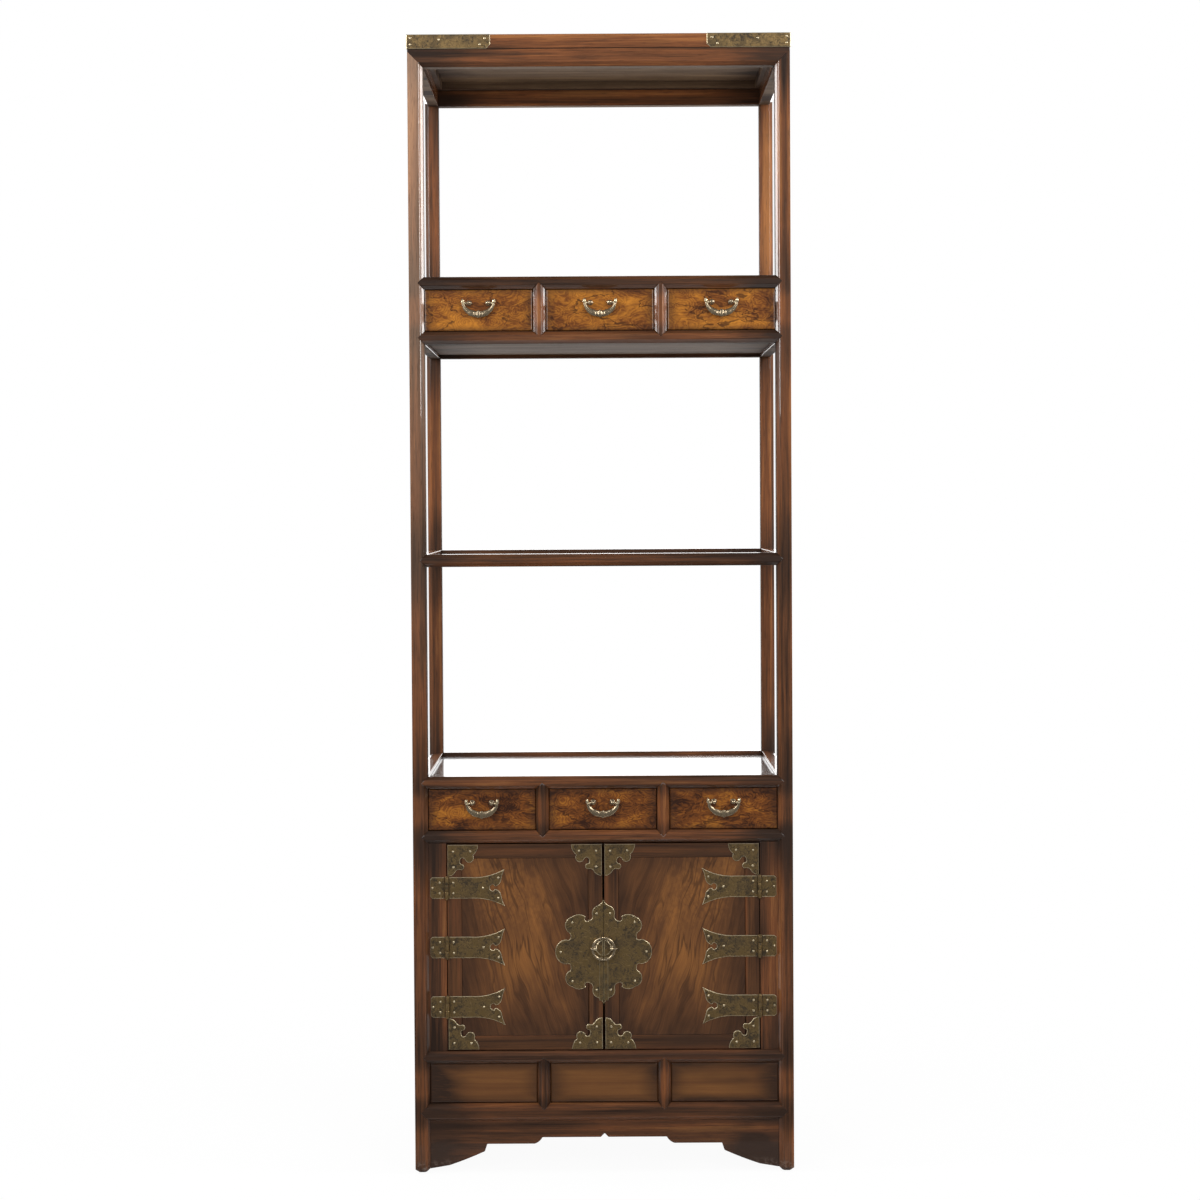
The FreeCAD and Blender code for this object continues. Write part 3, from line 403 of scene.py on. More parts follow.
def wood(context, name, axis, tones, gloss=1.0, mirror=0.07, border=None):
    """Straight-grained wood: streaks, fibres and pores, with painted shade at its joints and low down.

    A border is a function that gives the painted shade round a board's middle.
    """
    smoke, bleach, scuff = tones_of(context, "smoke", "bleach", "scuff")
    shader = Shader(name)
    place = shader.warp(shader.place(), stretched(axis, 14, 1.6), stretched(axis, 0.012, 0))

    def grain(across, along, detail):
        return shader.noise(place, stretched(axis, across, along), detail, 0.6)

    streak = grain(70, 1.4, 5)
    fibre = grain(420, 9, 3)
    pore = grain(1300, 34, 2)
    patch = grain(17, 4.2, 3)
    clear = clear_of_joints(shader, axis)
    height = shader.part(shader.place(), "Z")

    # The grain's colours, darkened a little by painted shade low down, and on rails everywhere below the
    # top
    height_shade = height.step(1.4, 0.2)
    if axis == "X":
        height_shade = height_shade.over(height.step(1.6, 1.4) * 0.7)
    depth = streak * 0.55 + patch * 0.25 + fibre * 0.2 + clear * 0.06 - height_shade * 0.04 - 0.02
    stops = [(0.39 + 0.24 * step / (len(tones) - 1), tone) for step, tone in enumerate(tones)]
    shade = shader.ramp(depth, stops)

    # Old dark polish in patches, with painted shade by the joints, low down and at a board's border, and
    # darker in the last few centimetres above the floor
    stain_and_shade = 0.15 if axis == "Z" else 0.25
    smoke_and_shade_share = patch.step(0.44, 0.64) * (0.6 + stain_and_shade - clear * 0.45) + (1 - clear) * stain_and_shade
    smoke_and_shade_share = smoke_and_shade_share + height_shade * (0.33 if axis == "X" else 0.1) + height.step(0.06, 0.0) * 0.25
    if border:
        smoke_and_shade_share = smoke_and_shade_share + border(shader)
    shade = shader.mix(smoke_and_shade_share, shade, smoke)

    # A painted sheen on the uprights at the front left, then pores, the seam under the top and the worn
    # feet
    if axis == "Z":
        shade = shader.mix(sheen(shader, height) * streak * 0.64, shade, bleach)
    shade = shader.mix(pore.step(0.44, 0.34) * 0.5, shade, tones[0])
    seam = abs(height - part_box("top_frame")[0].z).step(0.0013, 0.0004)
    shade = shader.mix(seam * 0.9, shade, tones[0])
    grit = shader.noise(shader.place(), (120, 120, 160), 4, 0.7)
    worn = height.step(0.024, 0.002) * grit.step(0.46, 0.62)
    shade = shader.mix(worn * 0.6, shade, scuff)

    # Dull wood is rougher and has no polish
    roughness = (0.26 if gloss else 0.61) + fibre * 0.16 + smoke_and_shade_share * 0.06 + worn * 0.3
    polish = height.step(-0.05, 0.3) * (finish_of(context).polish * gloss) if gloss else 0.0
    if gloss and axis == "Z":
        polish = polish * (1 - rubbed_arris(shader))
    relief = fibre * 0.5 + pore.step(0.3, 0.5) - seam * 2
    return varnished(shader, shade, roughness, polish, mirror, relief, 0.00012)


def tones_of(context, *names):
    return [tuple(getattr(finish_of(context), name)) for name in names]


def kept(name, make, *settings):
    """The material of a name, made the first time that it is asked for."""
    return bpy.data.materials.get(name) or make(*settings)


def frame_wood(context, axis):
    name = f"frame_wood_{axis.lower()}"
    tones = tones_of(context, "frame_dark", "frame_mid", "frame_light", "frame_amber")
    return kept(name, wood, context, name, axis, tones)


def shelf_wood(context):
    name = "shelf_wood"
    tones = tones_of(context, "frame_dark", "frame_mid", "frame_light")
    return kept(name, wood, context, name, "X", tones, 1.25, 0.14)


def inner_wood(context, axis):
    name = f"inner_wood_{axis.lower()}"
    return kept(name, wood, context, name, axis, tones_of(context, "inner_dark", "inner_light"), 0.0)


def under_wood(context):
    name = "underside_wood"
    return kept(name, wood, context, name, "X", tones_of(context, "under_dark", "under_light"), 0.0)


def edge_shade(shader, wide, narrow):
    """Painted shade that grows towards the edges of a board, from shares of its width and its height."""
    shares = shader.share()
    across = shader.part(shares, "X").off_centre()
    upward = shader.part(shares, "Z").off_centre()
    return across.step(wide, 1.02).over(upward.step(narrow, 1.04))


def burl_wood(context, name, richness):
    """Amber burl: folded figure, curls, dark veins and painted shade towards its border; richness makes
    it golden.
    """
    smoke, dark, middle, light = tones_of(context, "smoke", "burl_dark", "burl_mid", "burl_light")
    shader = Shader(name)
    place = shader.place()
    folded = shader.warp(place, (16, 16, 26), (0.05, 0.05, 0.022), 4)
    folded = shader.warp(folded, (60, 60, 90), (0.012, 0.012, 0.008), 3)
    figure = shader.noise(folded, (24, 24, 58), 6, 0.62)
    patch = shader.noise(shader.warp(place, (20, 20, 20), (0.03, 0.03, 0.03)), (13, 13, 24), 2)
    crack = abs(shader.noise(folded, (11, 11, 30), 3) - 0.5).step(0.014, 0.004)
    thread = abs(shader.noise(folded, (34, 34, 70), 2) - 0.5).step(0.012, 0.002)
    vein = crack.over(thread * patch.step(0.56, 0.42) * 0.5)
    curl = shader.cells(folded, (34, 34, 48)) * 42
    curl = curl.math("SINE", curl) * 0.035
    fine = shader.noise(folded, (160, 160, 420), 3)
    depth = figure * 0.5 + patch * 0.4 + curl + (fine - 0.5) * 0.16 + (0.05 + richness)
    shade = shader.ramp(depth, ((0.34, dark), (0.47, middle), (0.64, light)))
    # Painted shade towards the drawer front's edges
    border = edge_shade(shader, 0.74, 0.62) * (0.3 + patch * 0.6)
    shade = shader.mix(border, shade, smoke)
    shade = shader.mix(vein * 0.75, shade, dark)
    roughness = 0.24 + fine * 0.14
    polish = finish_of(context).polish
    return varnished(shader, shade, roughness, polish, 0.06, fine - vein * 0.6, 0.0001)


def flame_wood(context, name, node, mirrored):
    """A door panel: flame-figured wood whose golden band leans across the panel."""
    smoke, dark, middle, light = tones_of(context, "smoke", "panel_dark", "panel_mid", "panel_light")
    lean = -0.3
    low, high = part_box(node)
    shader = Shader(name)
    local = shader.vector("SUBTRACT", shader.place(), tuple((low + high) / 2))
    local = shader.vector("MULTIPLY", local, (mirrored, 1, 1))
    folded = shader.warp(local, (9, 9, 5), (0.045, 0.02, 0.02), 3)
    folded = shader.warp(folded, (40, 40, 14), (0.006, 0.006, 0.006), 2)
    upward = shader.part(folded, "Z")
    across = shader.part(folded, "X") - upward * lean
    run = shader.node("ShaderNodeCombineXYZ", {}, {0: across, 1: shader.part(folded, "Y"), 2: upward})
    figure = shader.noise(run, (60, 20, 7), 5, 0.6)
    line = abs(shader.noise(run, (46, 10, 4.5), 3, 0.5) - 0.5).step(0.026, 0.004)
    fibre = shader.noise(run, (620, 60, 26), 3)
    patch = shader.noise(folded, (12, 12, 10), 3)
    band = abs(across + 0.006).step(0.1, 0.015) * (0.35 + upward.step(-0.13, 0.0) * 0.65)
    crackle = shader.cells(shader.warp(local, (90, 90, 90), (0.01, 0.01, 0.01)), (170, 170, 110))
    crackle = crackle.step(0.3, 0.7) * upward.step(0.0, 0.06) * band * 0.6
    depth = figure * 0.36 + patch * 0.4 + band * 0.17 + (fibre - 0.5) * 0.2
    depth = depth - crackle * 0.09 + upward * 0.25 + 0.045
    shade = shader.ramp(depth, ((0.3, dark), (0.5, middle), (0.72, light)))
    # Painted shade towards the panel's edges
    border = edge_shade(shader, 0.66, 0.7) * 0.4
    shade = shader.mix(border * (0.4 + patch), shade, smoke)
    shade = shader.mix(line * (0.3 + band * 0.25), shade, dark)
    roughness = 0.26 + fibre * 0.16
    relief = fibre - line * 0.5 - crackle * 0.5
    return varnished(shader, shade, roughness, finish_of(context).polish, 0.08, relief, 0.0001)


def brass(name, face, bloom, wear, roughness, relief):
    """Aged brass: a rubbed face under blotches of patina, with engraved scrolls, scratches and dents."""
    shader = Shader(name)
    place = shader.place()
    blotch = shader.noise(place, (60, 60, 60), 5, 0.68)
    speck = shader.noise(place, (420, 420, 420), 3, 0.6)
    dent = shader.noise(place, (150, 150, 150), 2)
    scratch = shader.noise(place, (90, 90, 1500), 2)
    curled = shader.warp(place, (70, 70, 70), (0.02, 0.02, 0.02))
    scroll = abs(shader.noise(curled, (95, 95, 95), 1) - 0.5).step(0.035, 0.01) * (1 - wear)
    cover = (blotch.step(0.38, 0.62) * 0.7 + speck.step(0.48, 0.66) * 0.3 + scroll * 0.5) * (1 - wear)
    shader.set(
        Base_Color=shader.mix(cover, face, bloom),
        Metallic=0.92 - cover * 0.4,
        Roughness=roughness + cover * 0.2 + (scratch - 0.5) * 0.1,
        Normal=shader.bump(dent + speck * 0.3 + scratch * 0.2 - scroll * 0.5, relief, 0.6),
    )
    return shader.material


def brass_finishes(context):
    """The brass of plates, of their rims, rubbed bright and lighter still as a painted highlight, of
    cast pieces, and of tacks and balls, rubbed bright and pale as a painted highlight.
    """
    field, patina, bright, cast, bead = tones_of(
        context, "brass_field", "brass_patina", "brass_bright", "brass_cast", "brass_bead"
    )
    kinds = {
        "brass_plate": (field, patina, 0.0, 0.36, 0.0004),
        # Rims: rubbed bright, and lighter as a painted highlight
        "brass_rim": (bright, patina, 0.45, 0.4, 0.0001),
        "brass_cast": (cast, patina, 0.5, 0.22, 0.0002),
        # Tacks and balls: rubbed bright, and pale as a painted highlight
        "brass_bead": (bead, field, 0.7, 0.3, 0.0001),
    }
    return [kept(name, brass, name, *settings) for name, settings in kinds.items()]


def soften(context, node):
    """Round the edges of a piece of joinery a little, as planed and worn wood is."""
    piece = NODES[node]
    weld = piece.modifiers.new("Joined", "WELD")
    weld.merge_threshold = 1e-5
    plane = piece.modifiers.new("Planed", "DECIMATE")
    plane.decimate_type = "DISSOLVE"
    plane.angle_limit = math.radians(0.5)
    edge = piece.modifiers.new("Eased", "BEVEL")
    edge.width = finish_of(context).edge
    edge.segments = 2
    edge.limit_method = "ANGLE"
    edge.angle_limit = math.radians(25)


def dress(context, node, materials, choose=None):
    """Give a node of the frame its finish, and each face the one that choose picks for it."""
    mesh = NODES[node].data
    mesh.materials.clear()
    for material in materials:
        mesh.materials.append(material)
    for face in mesh.polygons:
        face.material_index = choose(face) if choose else 0
    soften(context, node)


def looks_down(face):
    return int(face.normal.z < -0.9)


class CABINET_OT_frame(Operator):
    """Finish the posts, rails, muntins, aprons and the framed top"""

    bl_idname = "cabinet.frame"
    bl_label = "Frame"

    def execute(self, context):
        members = {
            "X": ("front_rails", "rear_rails", "front_apron"),
            "Y": ("side_rails", "side_aprons"),
            "Z": ("muntins", "door_jambs"),
        }
        for axis, nodes in members.items():
            for node in nodes:
                dress(context, node, [frame_wood(context, axis), under_wood(context)], looks_down)
        self.posts(context)
        self.top(context)
        return {"FINISHED"}

    def posts(self, context):
        """Polished posts with dull inner sides, painted darker as shade."""
        # The inner sides take only the darker frame tones: painted shade
        dull = wood(context, "dull_post_wood", "Z", tones_of(context, "frame_dark", "frame_mid"), 0.0)
        materials = [frame_wood(context, "Z"), dull]
        for side, sign in SIDES.items():

            def looks_inward(face):
                return int(face.normal.x * sign < -0.9)

            for end in ("front", "rear"):
                dress(context, f"{end}_{side}_post", materials, looks_inward)

    def top(self, context):
        """The top's frame: long boards in front and behind, short ones at the sides, dull within."""
        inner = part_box("top_panel")[1] + Vector((1e-4, 1e-4, 0))

        def board(face):
            beside, ahead = abs(face.center.x) - inner.x, abs(face.center.y) - inner.y
            if max(beside, ahead) < 0 or looks_down(face):
                return 2
            return int(ahead > beside)

        boards = [frame_wood(context, "Y"), frame_wood(context, "X"), under_wood(context)]
        dress(context, "top_frame", boards, board)


class CABINET_OT_boards(Operator):
    """Finish the shelves, the closing panels and the boards inside"""

    bl_idname = "cabinet.boards"
    bl_label = "Boards"

    def execute(self, context):
        shelf = shelf_wood(context)
        for node in ("top_panel", "upper_shelf_panel", "middle_shelf_panel", "counter_panel"):
            dress(context, node, [shelf, under_wood(context)], looks_down)
        dress(context, "upper_drawer_floor", [inner_wood(context, "X"), under_wood(context)], looks_down)
        dress(context, "side_panels", [frame_wood(context, "Z")])
        dress(context, "back_panels", [frame_wood(context, "X")])
        for node in ("lower_drawer_floor", "cupboard_floor", "door_stops"):
            dress(context, node, [inner_wood(context, "X")])
        for node in ("drawer_partitions", "drawer_guides"):
            dress(context, node, [inner_wood(context, "Y")])
        tones = tones_of(context, "panel_mid", "base_glow")
        base = wood(context, "base_panel_wood", "X", tones, border=self.shaded_thirds)
        dress(context, "base_panels", [base])
        return {"FINISHED"}

    def shaded_thirds(self, shader):
        """Darkness towards the edges of three boards in a row, and light in their middles."""
        low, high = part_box("base_panels")
        along = shader.part(shader.place(), "X") / ((high.x - low.x) / 3) + 0.5
        across = along.math("FRACT", along).off_centre()
        upward = shader.part(shader.share(), "Z").off_centre()
        return across.step(0.5, 0.95).over(upward.step(0.45, 1.0)) * 0.7 - 0.35


class CABINET_OT_doors(Operator):
    """Finish the doors' frames and their flame-figured panels"""

    bl_idname = "cabinet.doors"
    bl_label = "Doors"

    def execute(self, context):
        tones = tones_of(context, "panel_dark", "panel_mid", "frame_light")
        stile = wood(context, "door_stile_wood", "Z", tones)
        rail = wood(context, "door_rail_wood", "X", tones)
        for side, sign in SIDES.items():
            panel = f"{side}_door_panel"
            low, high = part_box(panel)

            def is_rail(face):
                return int(low.x < face.center.x < high.x)

            dress(context, f"{side}_door_frame", [stile, rail], is_rail)
            dress(context, panel, [flame_wood(context, f"{side}_flame_wood", panel, -sign)])
        return {"FINISHED"}


class CABINET_OT_drawers(Operator):
    """Finish the drawers: burl fronts on plain boxes"""

    bl_idname = "cabinet.drawers"
    bl_label = "Drawers"

    def execute(self, context):
        for row, richness in ROWS.items():
            materials = [burl_wood(context, f"{row}_burl", richness), inner_wood(context, "Y")]
            for column in COLUMNS:
                node = f"{row}_{column}_drawer"
                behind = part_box(node)[0].y + (DRAWER_FRONT + 0.1) * MM
                dress(context, node, materials, lambda face: int(face.center.y > behind))
        return {"FINISHED"}


def bow(start, through, end, steps):
    """Points along the arc from start to end through a third point, without its start."""
    (ax, ay), (bx, by), (cx, cy) = start, through, end
    area = 2 * (ax * (by - cy) + bx * (cy - ay) + cx * (ay - by))
    a, b, c = ax * ax + ay * ay, bx * bx + by * by, cx * cx + cy * cy
    x = (a * (by - cy) + b * (cy - ay) + c * (ay - by)) / area
    y = (a * (cx - bx) + b * (ax - cx) + c * (bx - ax)) / area
    first, last = math.atan2(ay - y, ax - x), math.atan2(cy - y, cx - x)
    turn = (last - first) % math.tau
    if area < 0:
        turn -= math.tau
    radius = math.hypot(ax - x, ay - y)
    angles = [first + turn * step / steps for step in range(1, steps + 1)]
    return [(x + radius * math.cos(angle), y + radius * math.sin(angle)) for angle in angles]


def traced(corners, steps=8):
    """Draw an outline: a corner with four numbers is reached by an arc through its last two."""
    points = [corners[0]]
    for corner in corners[1:]:
        end = corner[:2]
        points += bow(points[-1], corner[2:], end, steps) if len(corner) == 4 else [end]
    return points


def with_image(half):
    """Complete an outline with its image in the horizontal axis."""
    return half + [(x, -z) for x, z in reversed(half) if abs(z) > 1e-6]


def way_across(outline, index, direction):
    """How far a line from a corner runs inside an outline before it meets another edge."""
    x, z = outline[index]
    right, up = direction
    count = len(outline)
    ways = [math.inf]
    for other in range(count):
        if other in (index, (index - 1) % count):
            continue
        (x0, z0), (x1, z1) = outline[other], outline[(other + 1) % count]
        run, rise = x1 - x0, z1 - z0
        slant = right * rise - up * run
        if abs(slant) < 1e-9:
            continue
        way = ((x0 - x) * rise - (z0 - z) * run) / slant
        share = ((x0 - x) * up - (z0 - z) * right) / slant
        if way > 1e-6 and 0 <= share <= 1:
            ways.append(way)
    return min(ways)


def inset(outline, width):
    """Move an outline inwards by a width, or by less where the shape is too thin for that."""
    count = len(outline)
    area = sum(
        outline[i - 1][0] * outline[i][1] - outline[i][0] * outline[i - 1][1] for i in range(count)
    )
    turn = 1 if area > 0 else -1
    moved = []
    for i, (x, z) in enumerate(outline):
        before, after = outline[i - 1], outline[(i + 1) % count]
        normals = []
        for (x0, z0), (x1, z1) in ((before, (x, z)), ((x, z), after)):
            size = math.hypot(x1 - x0, z1 - z0)
            normals.append(((z0 - z1) / size * turn, (x1 - x0) / size * turn))
        (ax, az), (bx, bz) = normals
        split = math.hypot(ax + bx, az + bz)
        inward = ((ax + bx) / split, (az + bz) / split)
        mitre = width * split / max(0.45, 1 + ax * bx + az * bz)
        reach = min(mitre, 0.4 * way_across(outline, i, inward))
        moved.append((x + inward[0] * reach, z + inward[1] * reach))
    return moved


def around(count):
    """Angles that divide a full turn."""
    return [math.tau * step / count for step in range(count)]


# The kinds of brass on a casting, in the order of brass_finishes
PLATE, RIM, CAST, BEAD = range(4)


class Casting:
    """A mesh in millimetres, built up from plates, turned pieces and swept bars."""

    def __init__(self):
        self.points = []
        self.faces = []
        self.kinds = []
        self.smooth = []

    def ring(self, places):
        """Add points and give their numbers."""
        first = len(self.points)
        self.points += [Vector(place) for place in places]
        return list(range(first, len(self.points)))

    def face(self, corners, kind, smooth=False):
        self.faces.append(corners)
        self.kinds.append(kind)
        self.smooth.append(smooth)

    def band(self, lower, upper, kind, smooth=False):
        """Faces all the way round between two rings."""
        for i in range(len(lower)):
            self.face([lower[i - 1], lower[i], upper[i], upper[i - 1]], kind, smooth)

    def plate(self, outline, put, thickness, rim):
        """A flat plate with a bevelled rim; put places a point from its two sizes and its height."""
        drop = thickness * 0.55
        back = self.ring(put(x, z, 0) for x, z in outline)
        edge = self.ring(put(x, z, thickness - drop) for x, z in outline)
        front = self.ring(put(x, z, thickness) for x, z in inset(outline, rim))
        self.face(back, PLATE)
        self.band(back, edge, RIM)
        self.band(edge, front, RIM)
        self.face(front, PLATE)

    def turned(self, profile, put, sides, kind):
        """A piece turned on an axis, from its radii and heights; put places a point as in plate."""
        rings = []
        for radius, height in profile:
            places = [(radius * math.cos(a), radius * math.sin(a), height) for a in around(sides)]
            rings.append(self.ring(put(*place) for place in places))
        self.face(rings[0], kind)
        for lower, upper in zip(rings, rings[1:]):
            self.band(lower, upper, kind, True)
        self.face(rings[-1], kind, True)

    def knob(self, centre, size, kind):
        """A ball, or an egg with three different half sizes, that faces the front."""
        rows = 8
        tilts = [math.pi * row / rows for row in range(1, rows)]
        profile = [(math.sin(tilt), -math.cos(tilt)) for tilt in tilts]

        def put(across, upward, out):
            return centre + Vector((size[0] * across, -size[1] * out, size[2] * upward))

        self.turned(profile, put, 14, kind)

    def swept(self, path, widths, depths, normal, sides, kind, closed=False):
        """A bar along a flat path, with its width in the path's plane and its depth across it."""
        normal = Vector(normal)
        count = len(path)
        rings = []
        for i, place in enumerate(path):
            before = path[i - 1] if closed or i else path[i]
            after = path[(i + 1) % count] if closed or i < count - 1 else path[i]
            outward = (after - before).normalized().cross(normal) * widths[i]
            ahead = normal * depths[i]
            turns = around(sides)
            rings.append(self.ring(place + outward * math.cos(a) + ahead * math.sin(a) for a in turns))
        for lower, upper in zip(rings, rings[1:]):
            self.band(lower, upper, kind, True)
        if closed:
            self.band(rings[-1], rings[0], kind, True)
        else:
            self.face(rings[0], kind)
            self.face(rings[-1], kind)

    def piece(self, context, name, body, *replaced):
        """Make the casting a piece that moves with a body and stands for nodes of the frame."""
        mesh = bpy.data.meshes.new(name)
        mesh.from_pydata([tuple(point * MM) for point in self.points], [], self.faces)
        mesh.polygons.foreach_set("material_index", self.kinds)
        mesh.polygons.foreach_set("use_smooth", self.smooth)
        for material in brass_finishes(context):
            mesh.materials.append(material)
        tidy = bmesh.new()
        tidy.from_mesh(mesh)
        bmesh.ops.recalc_face_normals(tidy, faces=tidy.faces)
        tidy.to_mesh(mesh)
        tidy.free()
        piece = bpy.data.objects.new(name, mesh)
        context.scene.collection.objects.link(piece)
        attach(piece, body)
        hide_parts(*replaced)


def facing_front(x, y, z, right=1, up=1):
    """Place points of a fitting on a front face; its first size runs right or left, its height out."""
    return lambda across, upward, out: (x + right * across, y - out, z + up * upward)


def standing(x, y, z, up=1):
    """Place points of a turned piece that stands on a level face, or hangs from it."""
    return lambda across, inward, out: (x + across, y + inward, z + up * out)


def millimetres(corner):
    return Vector(corner) / MM


def millimetre_box(node):
    return [millimetres(corner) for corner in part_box(node)]


def tacked_plate(context, casting, outline, put, places):
    """A plate of sheet brass with a rim rubbed bright and painted lighter as a highlight, and domed tack
    heads.
    """
    fittings = context.scene.cabinet_fittings
    radius, height = fittings.tack_radius / MM, fittings.tack_height / MM
    casting.plate(outline, put, BRASS, fittings.rim / MM)
    dome = [(radius * share, height * rise) for share, rise in TACK_DOME]
    for across, upward in places:

        def on_plate(x, z, out):
            return put(across + x, upward + z, BRASS + out)

        casting.turned(dome, on_plate, 12, BEAD)


# Thickness of the sheet brass, and a tack's profile in shares of its radius and height
BRASS = 1.2
TACK_DOME = ((1, 0), (0.96, 0.25), (0.8, 0.62), (0.5, 0.9), (0.18, 1))

# A corner strap's run along the front, its cut-off corner, and its tacks
STRAP_RUN = 128
STRAP_CUT = 6
STRAP_TACKS = ((6.3, 6.5), (6.3, 16.5), (50.4, 14), (113, 6.2), (121, 15.5))
SIDE_STRAP_TACKS = ((8, 6.5), (8, 16.5), (40, 11), (70, 6.5), (74, 15.5))

# Half the heights of a hinge, its swallow tail and its middle knuckle; where the outer knuckles begin
HINGE_HALF = 16.5
TAIL_HALF = 29
JAMB_KNUCKLE = 5.3
DOOR_KNUCKLE = 5.8

# The lower halves of a hinge's outlines, away from the pin; the upper halves are their images
HINGE_STRAP = (
    (3.7, -HINGE_HALF),
    (36, -HINGE_HALF),
    (90, -TAIL_HALF, 66.6, -19.4),
    (84.4, -11.6, 86.4, -20),
    (77, -2.6, 81.6, -5.8),
    (73.6, -3.4, 75.4, -2.2),
    (69.2, -4, 71.4, -5),
    (67, 0, 67.4, -2.4),
)
HINGE_LEAF = [(-3.7, -HINGE_HALF), (-23, -HINGE_HALF), (-26, -13.5)]
HINGE_TACKS = ((10, -8.3), (10, 8.3), (56.5, 0), (80, -15.7), (80, 15.7))
LEAF_TACKS = ((-11, -8.3), (-11, 8.3), (-22.5, 0))

# A corner mount, from the corner of the door
MOUNT = (
    (0, 0),
    (47.5, 0),
    (41.6, 14.6, 45.8, 8),
    (40.4, 17.8, 40, 15.8),
    (27.4, 23.6, 34.6, 27.4),
    (19.4, 24.8, 22, 20.4),
    (22.6, 30, 19.6, 28.6),
    (21.4, 38.8, 25.6, 34),
    (12.6, 41.2, 16.4, 38.4),
    (0, 49, 7.6, 46.8),
)
MOUNT_TACKS = ((8.6, 10.2), (35.2, 9.8), (9, 34.8))

# The upper lobes of half the lock plate, from the seam; the lower ones are their images
LOCK_LOBES = (
    (8.4, 72.2, 3, 76.5),
    (17.4, 58, 16, 66.6),
    (22.6, 48.8, 18, 51.8),
    (27.6, 54.7, 28.6, 49.8),
    (48.8, 54.9, 38, 58.4),
    (55.8, 31.4, 59.6, 43.4),
    (51.4, 23.2, 52, 28.3),
    (58.4, 19.3, 53.4, 19.1),
    (75, 0, 70.8, 12.9),
)
LOCK_TACKS = ((48.5, 46), (66.8, 0), (48.5, -45.7), (10.6, 60), (10.8, -59.4))

# Radius of the boss under the ring and its rim; the seam bar's half width and its ends, in shares of
# half the plate's height
BOSS = 12.5
BOSS_RIM = 1.5
BAR_HALF = 7
BAR_ENDS = (-0.92, -0.1)

# How far inside the ring its eye's knob sits, the radius of the eye's loop, the ring's wire, and half
# the gap between its halves
EYE_INSIDE = 4.4
EYE_LOOP = 3.1
RING_WIRE = 2
RING_GAP = 0.3

# A bail's half width and drop to the middle of its bar, half the width of its horns' curl, its posts'
# places and heads, and its pins' places
BAIL_HALF = 23.3
BAIL_DROP = 17.8
HORN_CURL = 1.3
POST_ASIDE = 15
POST_HEAD = 3.3
PIN_ASIDE = 13


class CABINET_OT_straps(Operator):
    """Make the brass straps round the front corners of the top"""

    bl_idname = "cabinet.straps"
    bl_label = "Corner straps"

    def execute(self, context):
        low, high = millimetre_box("top_corner_straps")
        wood_front, wood_side = low.y + BRASS, high.x - BRASS
        rise = high.z - low.z
        casting = Casting()
        for sign in SIDES.values():
            front = facing_front(sign * high.x, wood_front, low.z, -sign)
            tacked_plate(context, casting, self.strip(STRAP_RUN + BRASS, rise), front, STRAP_TACKS)

            def beside(across, upward, out):
                return (sign * (wood_side + out), wood_front + across, low.z + upward)

            short = self.strip(high.y - wood_front, rise)
            tacked_plate(context, casting, short, beside, SIDE_STRAP_TACKS)
        casting.piece(context, "corner_straps", "carcase", "top_corner_straps")
        return {"FINISHED"}

    def strip(self, run, rise):
        """The outline of a strap, from the cabinet's corner to the end with its lower corner cut off."""
        return [(0, 0), (run - STRAP_CUT, 0), (run, STRAP_CUT), (run, rise), (0, rise)]


class CABINET_OT_hinges(Operator):
    """Make the strap hinges: swallow-tailed straps, jamb leaves, knuckles and pins"""

    bl_idname = "cabinet.hinges"
    bl_label = "Hinges"

    def execute(self, context):
        jamb = Casting()
        for side, sign in SIDES.items():
            straps = Casting()
            x, y, middle = millimetres(JOINTS[f"{side}_door_hinge"]["pos_m"])
            low, high = millimetre_box(f"{side}_hinge_straps")
            spacing = (high.z - low.z) / 2 - TAIL_HALF
            for step in (-1, 0, 1):
                z = middle + step * spacing
                put = facing_front(x, high.y, z, -sign)
                tacked_plate(context, straps, with_image(traced(HINGE_STRAP)), put, HINGE_TACKS)
                tacked_plate(context, jamb, with_image(HINGE_LEAF), put, LEAF_TACKS)
                self.knuckle(jamb, x, y, z - JAMB_KNUCKLE, z + JAMB_KNUCKLE)
                self.tab(jamb, put, -JAMB_KNUCKLE, JAMB_KNUCKLE, -1)
                for up in (1, -1):
                    foot, head = sorted((up * DOOR_KNUCKLE, up * HINGE_HALF))
                    self.knuckle(straps, x, y, z + foot, z + head)
                    self.tab(straps, put, foot, head, 1)
                    self.pin_head(jamb, x, y, z + up * HINGE_HALF, up)
            straps.piece(context, f"{side}_strap_hinges", f"{side}_door", f"{side}_hinge_straps")
        jamb.piece(context, "jamb_hinges", "carcase", "hinge_jamb_leaves", "hinge_pins")
        return {"FINISHED"}

    def knuckle(self, casting, x, y, low, high):
        """A barrel round the pin, with rounded ends."""
        end = [(2.2, 0), (2.85, 0.35), (3, 0.9)]
        other = [(radius, high - low - height) for radius, height in reversed(end)]
        casting.turned(end + other, standing(x, y, low), 16, PLATE)

    def pin_head(self, casting, x, y, z, up):
        """The rounded end of a hinge's pin, above or below the knuckles."""
        casting.turned([(2.4, 0), (2.6, 0.6), (2, 1.4), (0.8, 1.9)], standing(x, y, z, up), 16, PLATE)

    def tab(self, casting, put, low, high, direction):
        """The short tongue between a leaf and its knuckle."""
        corners = [(0.4, low), (4.4, low), (4.4, high), (0.4, high)]
        casting.plate([(direction * x, z) for x, z in corners], put, BRASS * 0.9, 0.1)


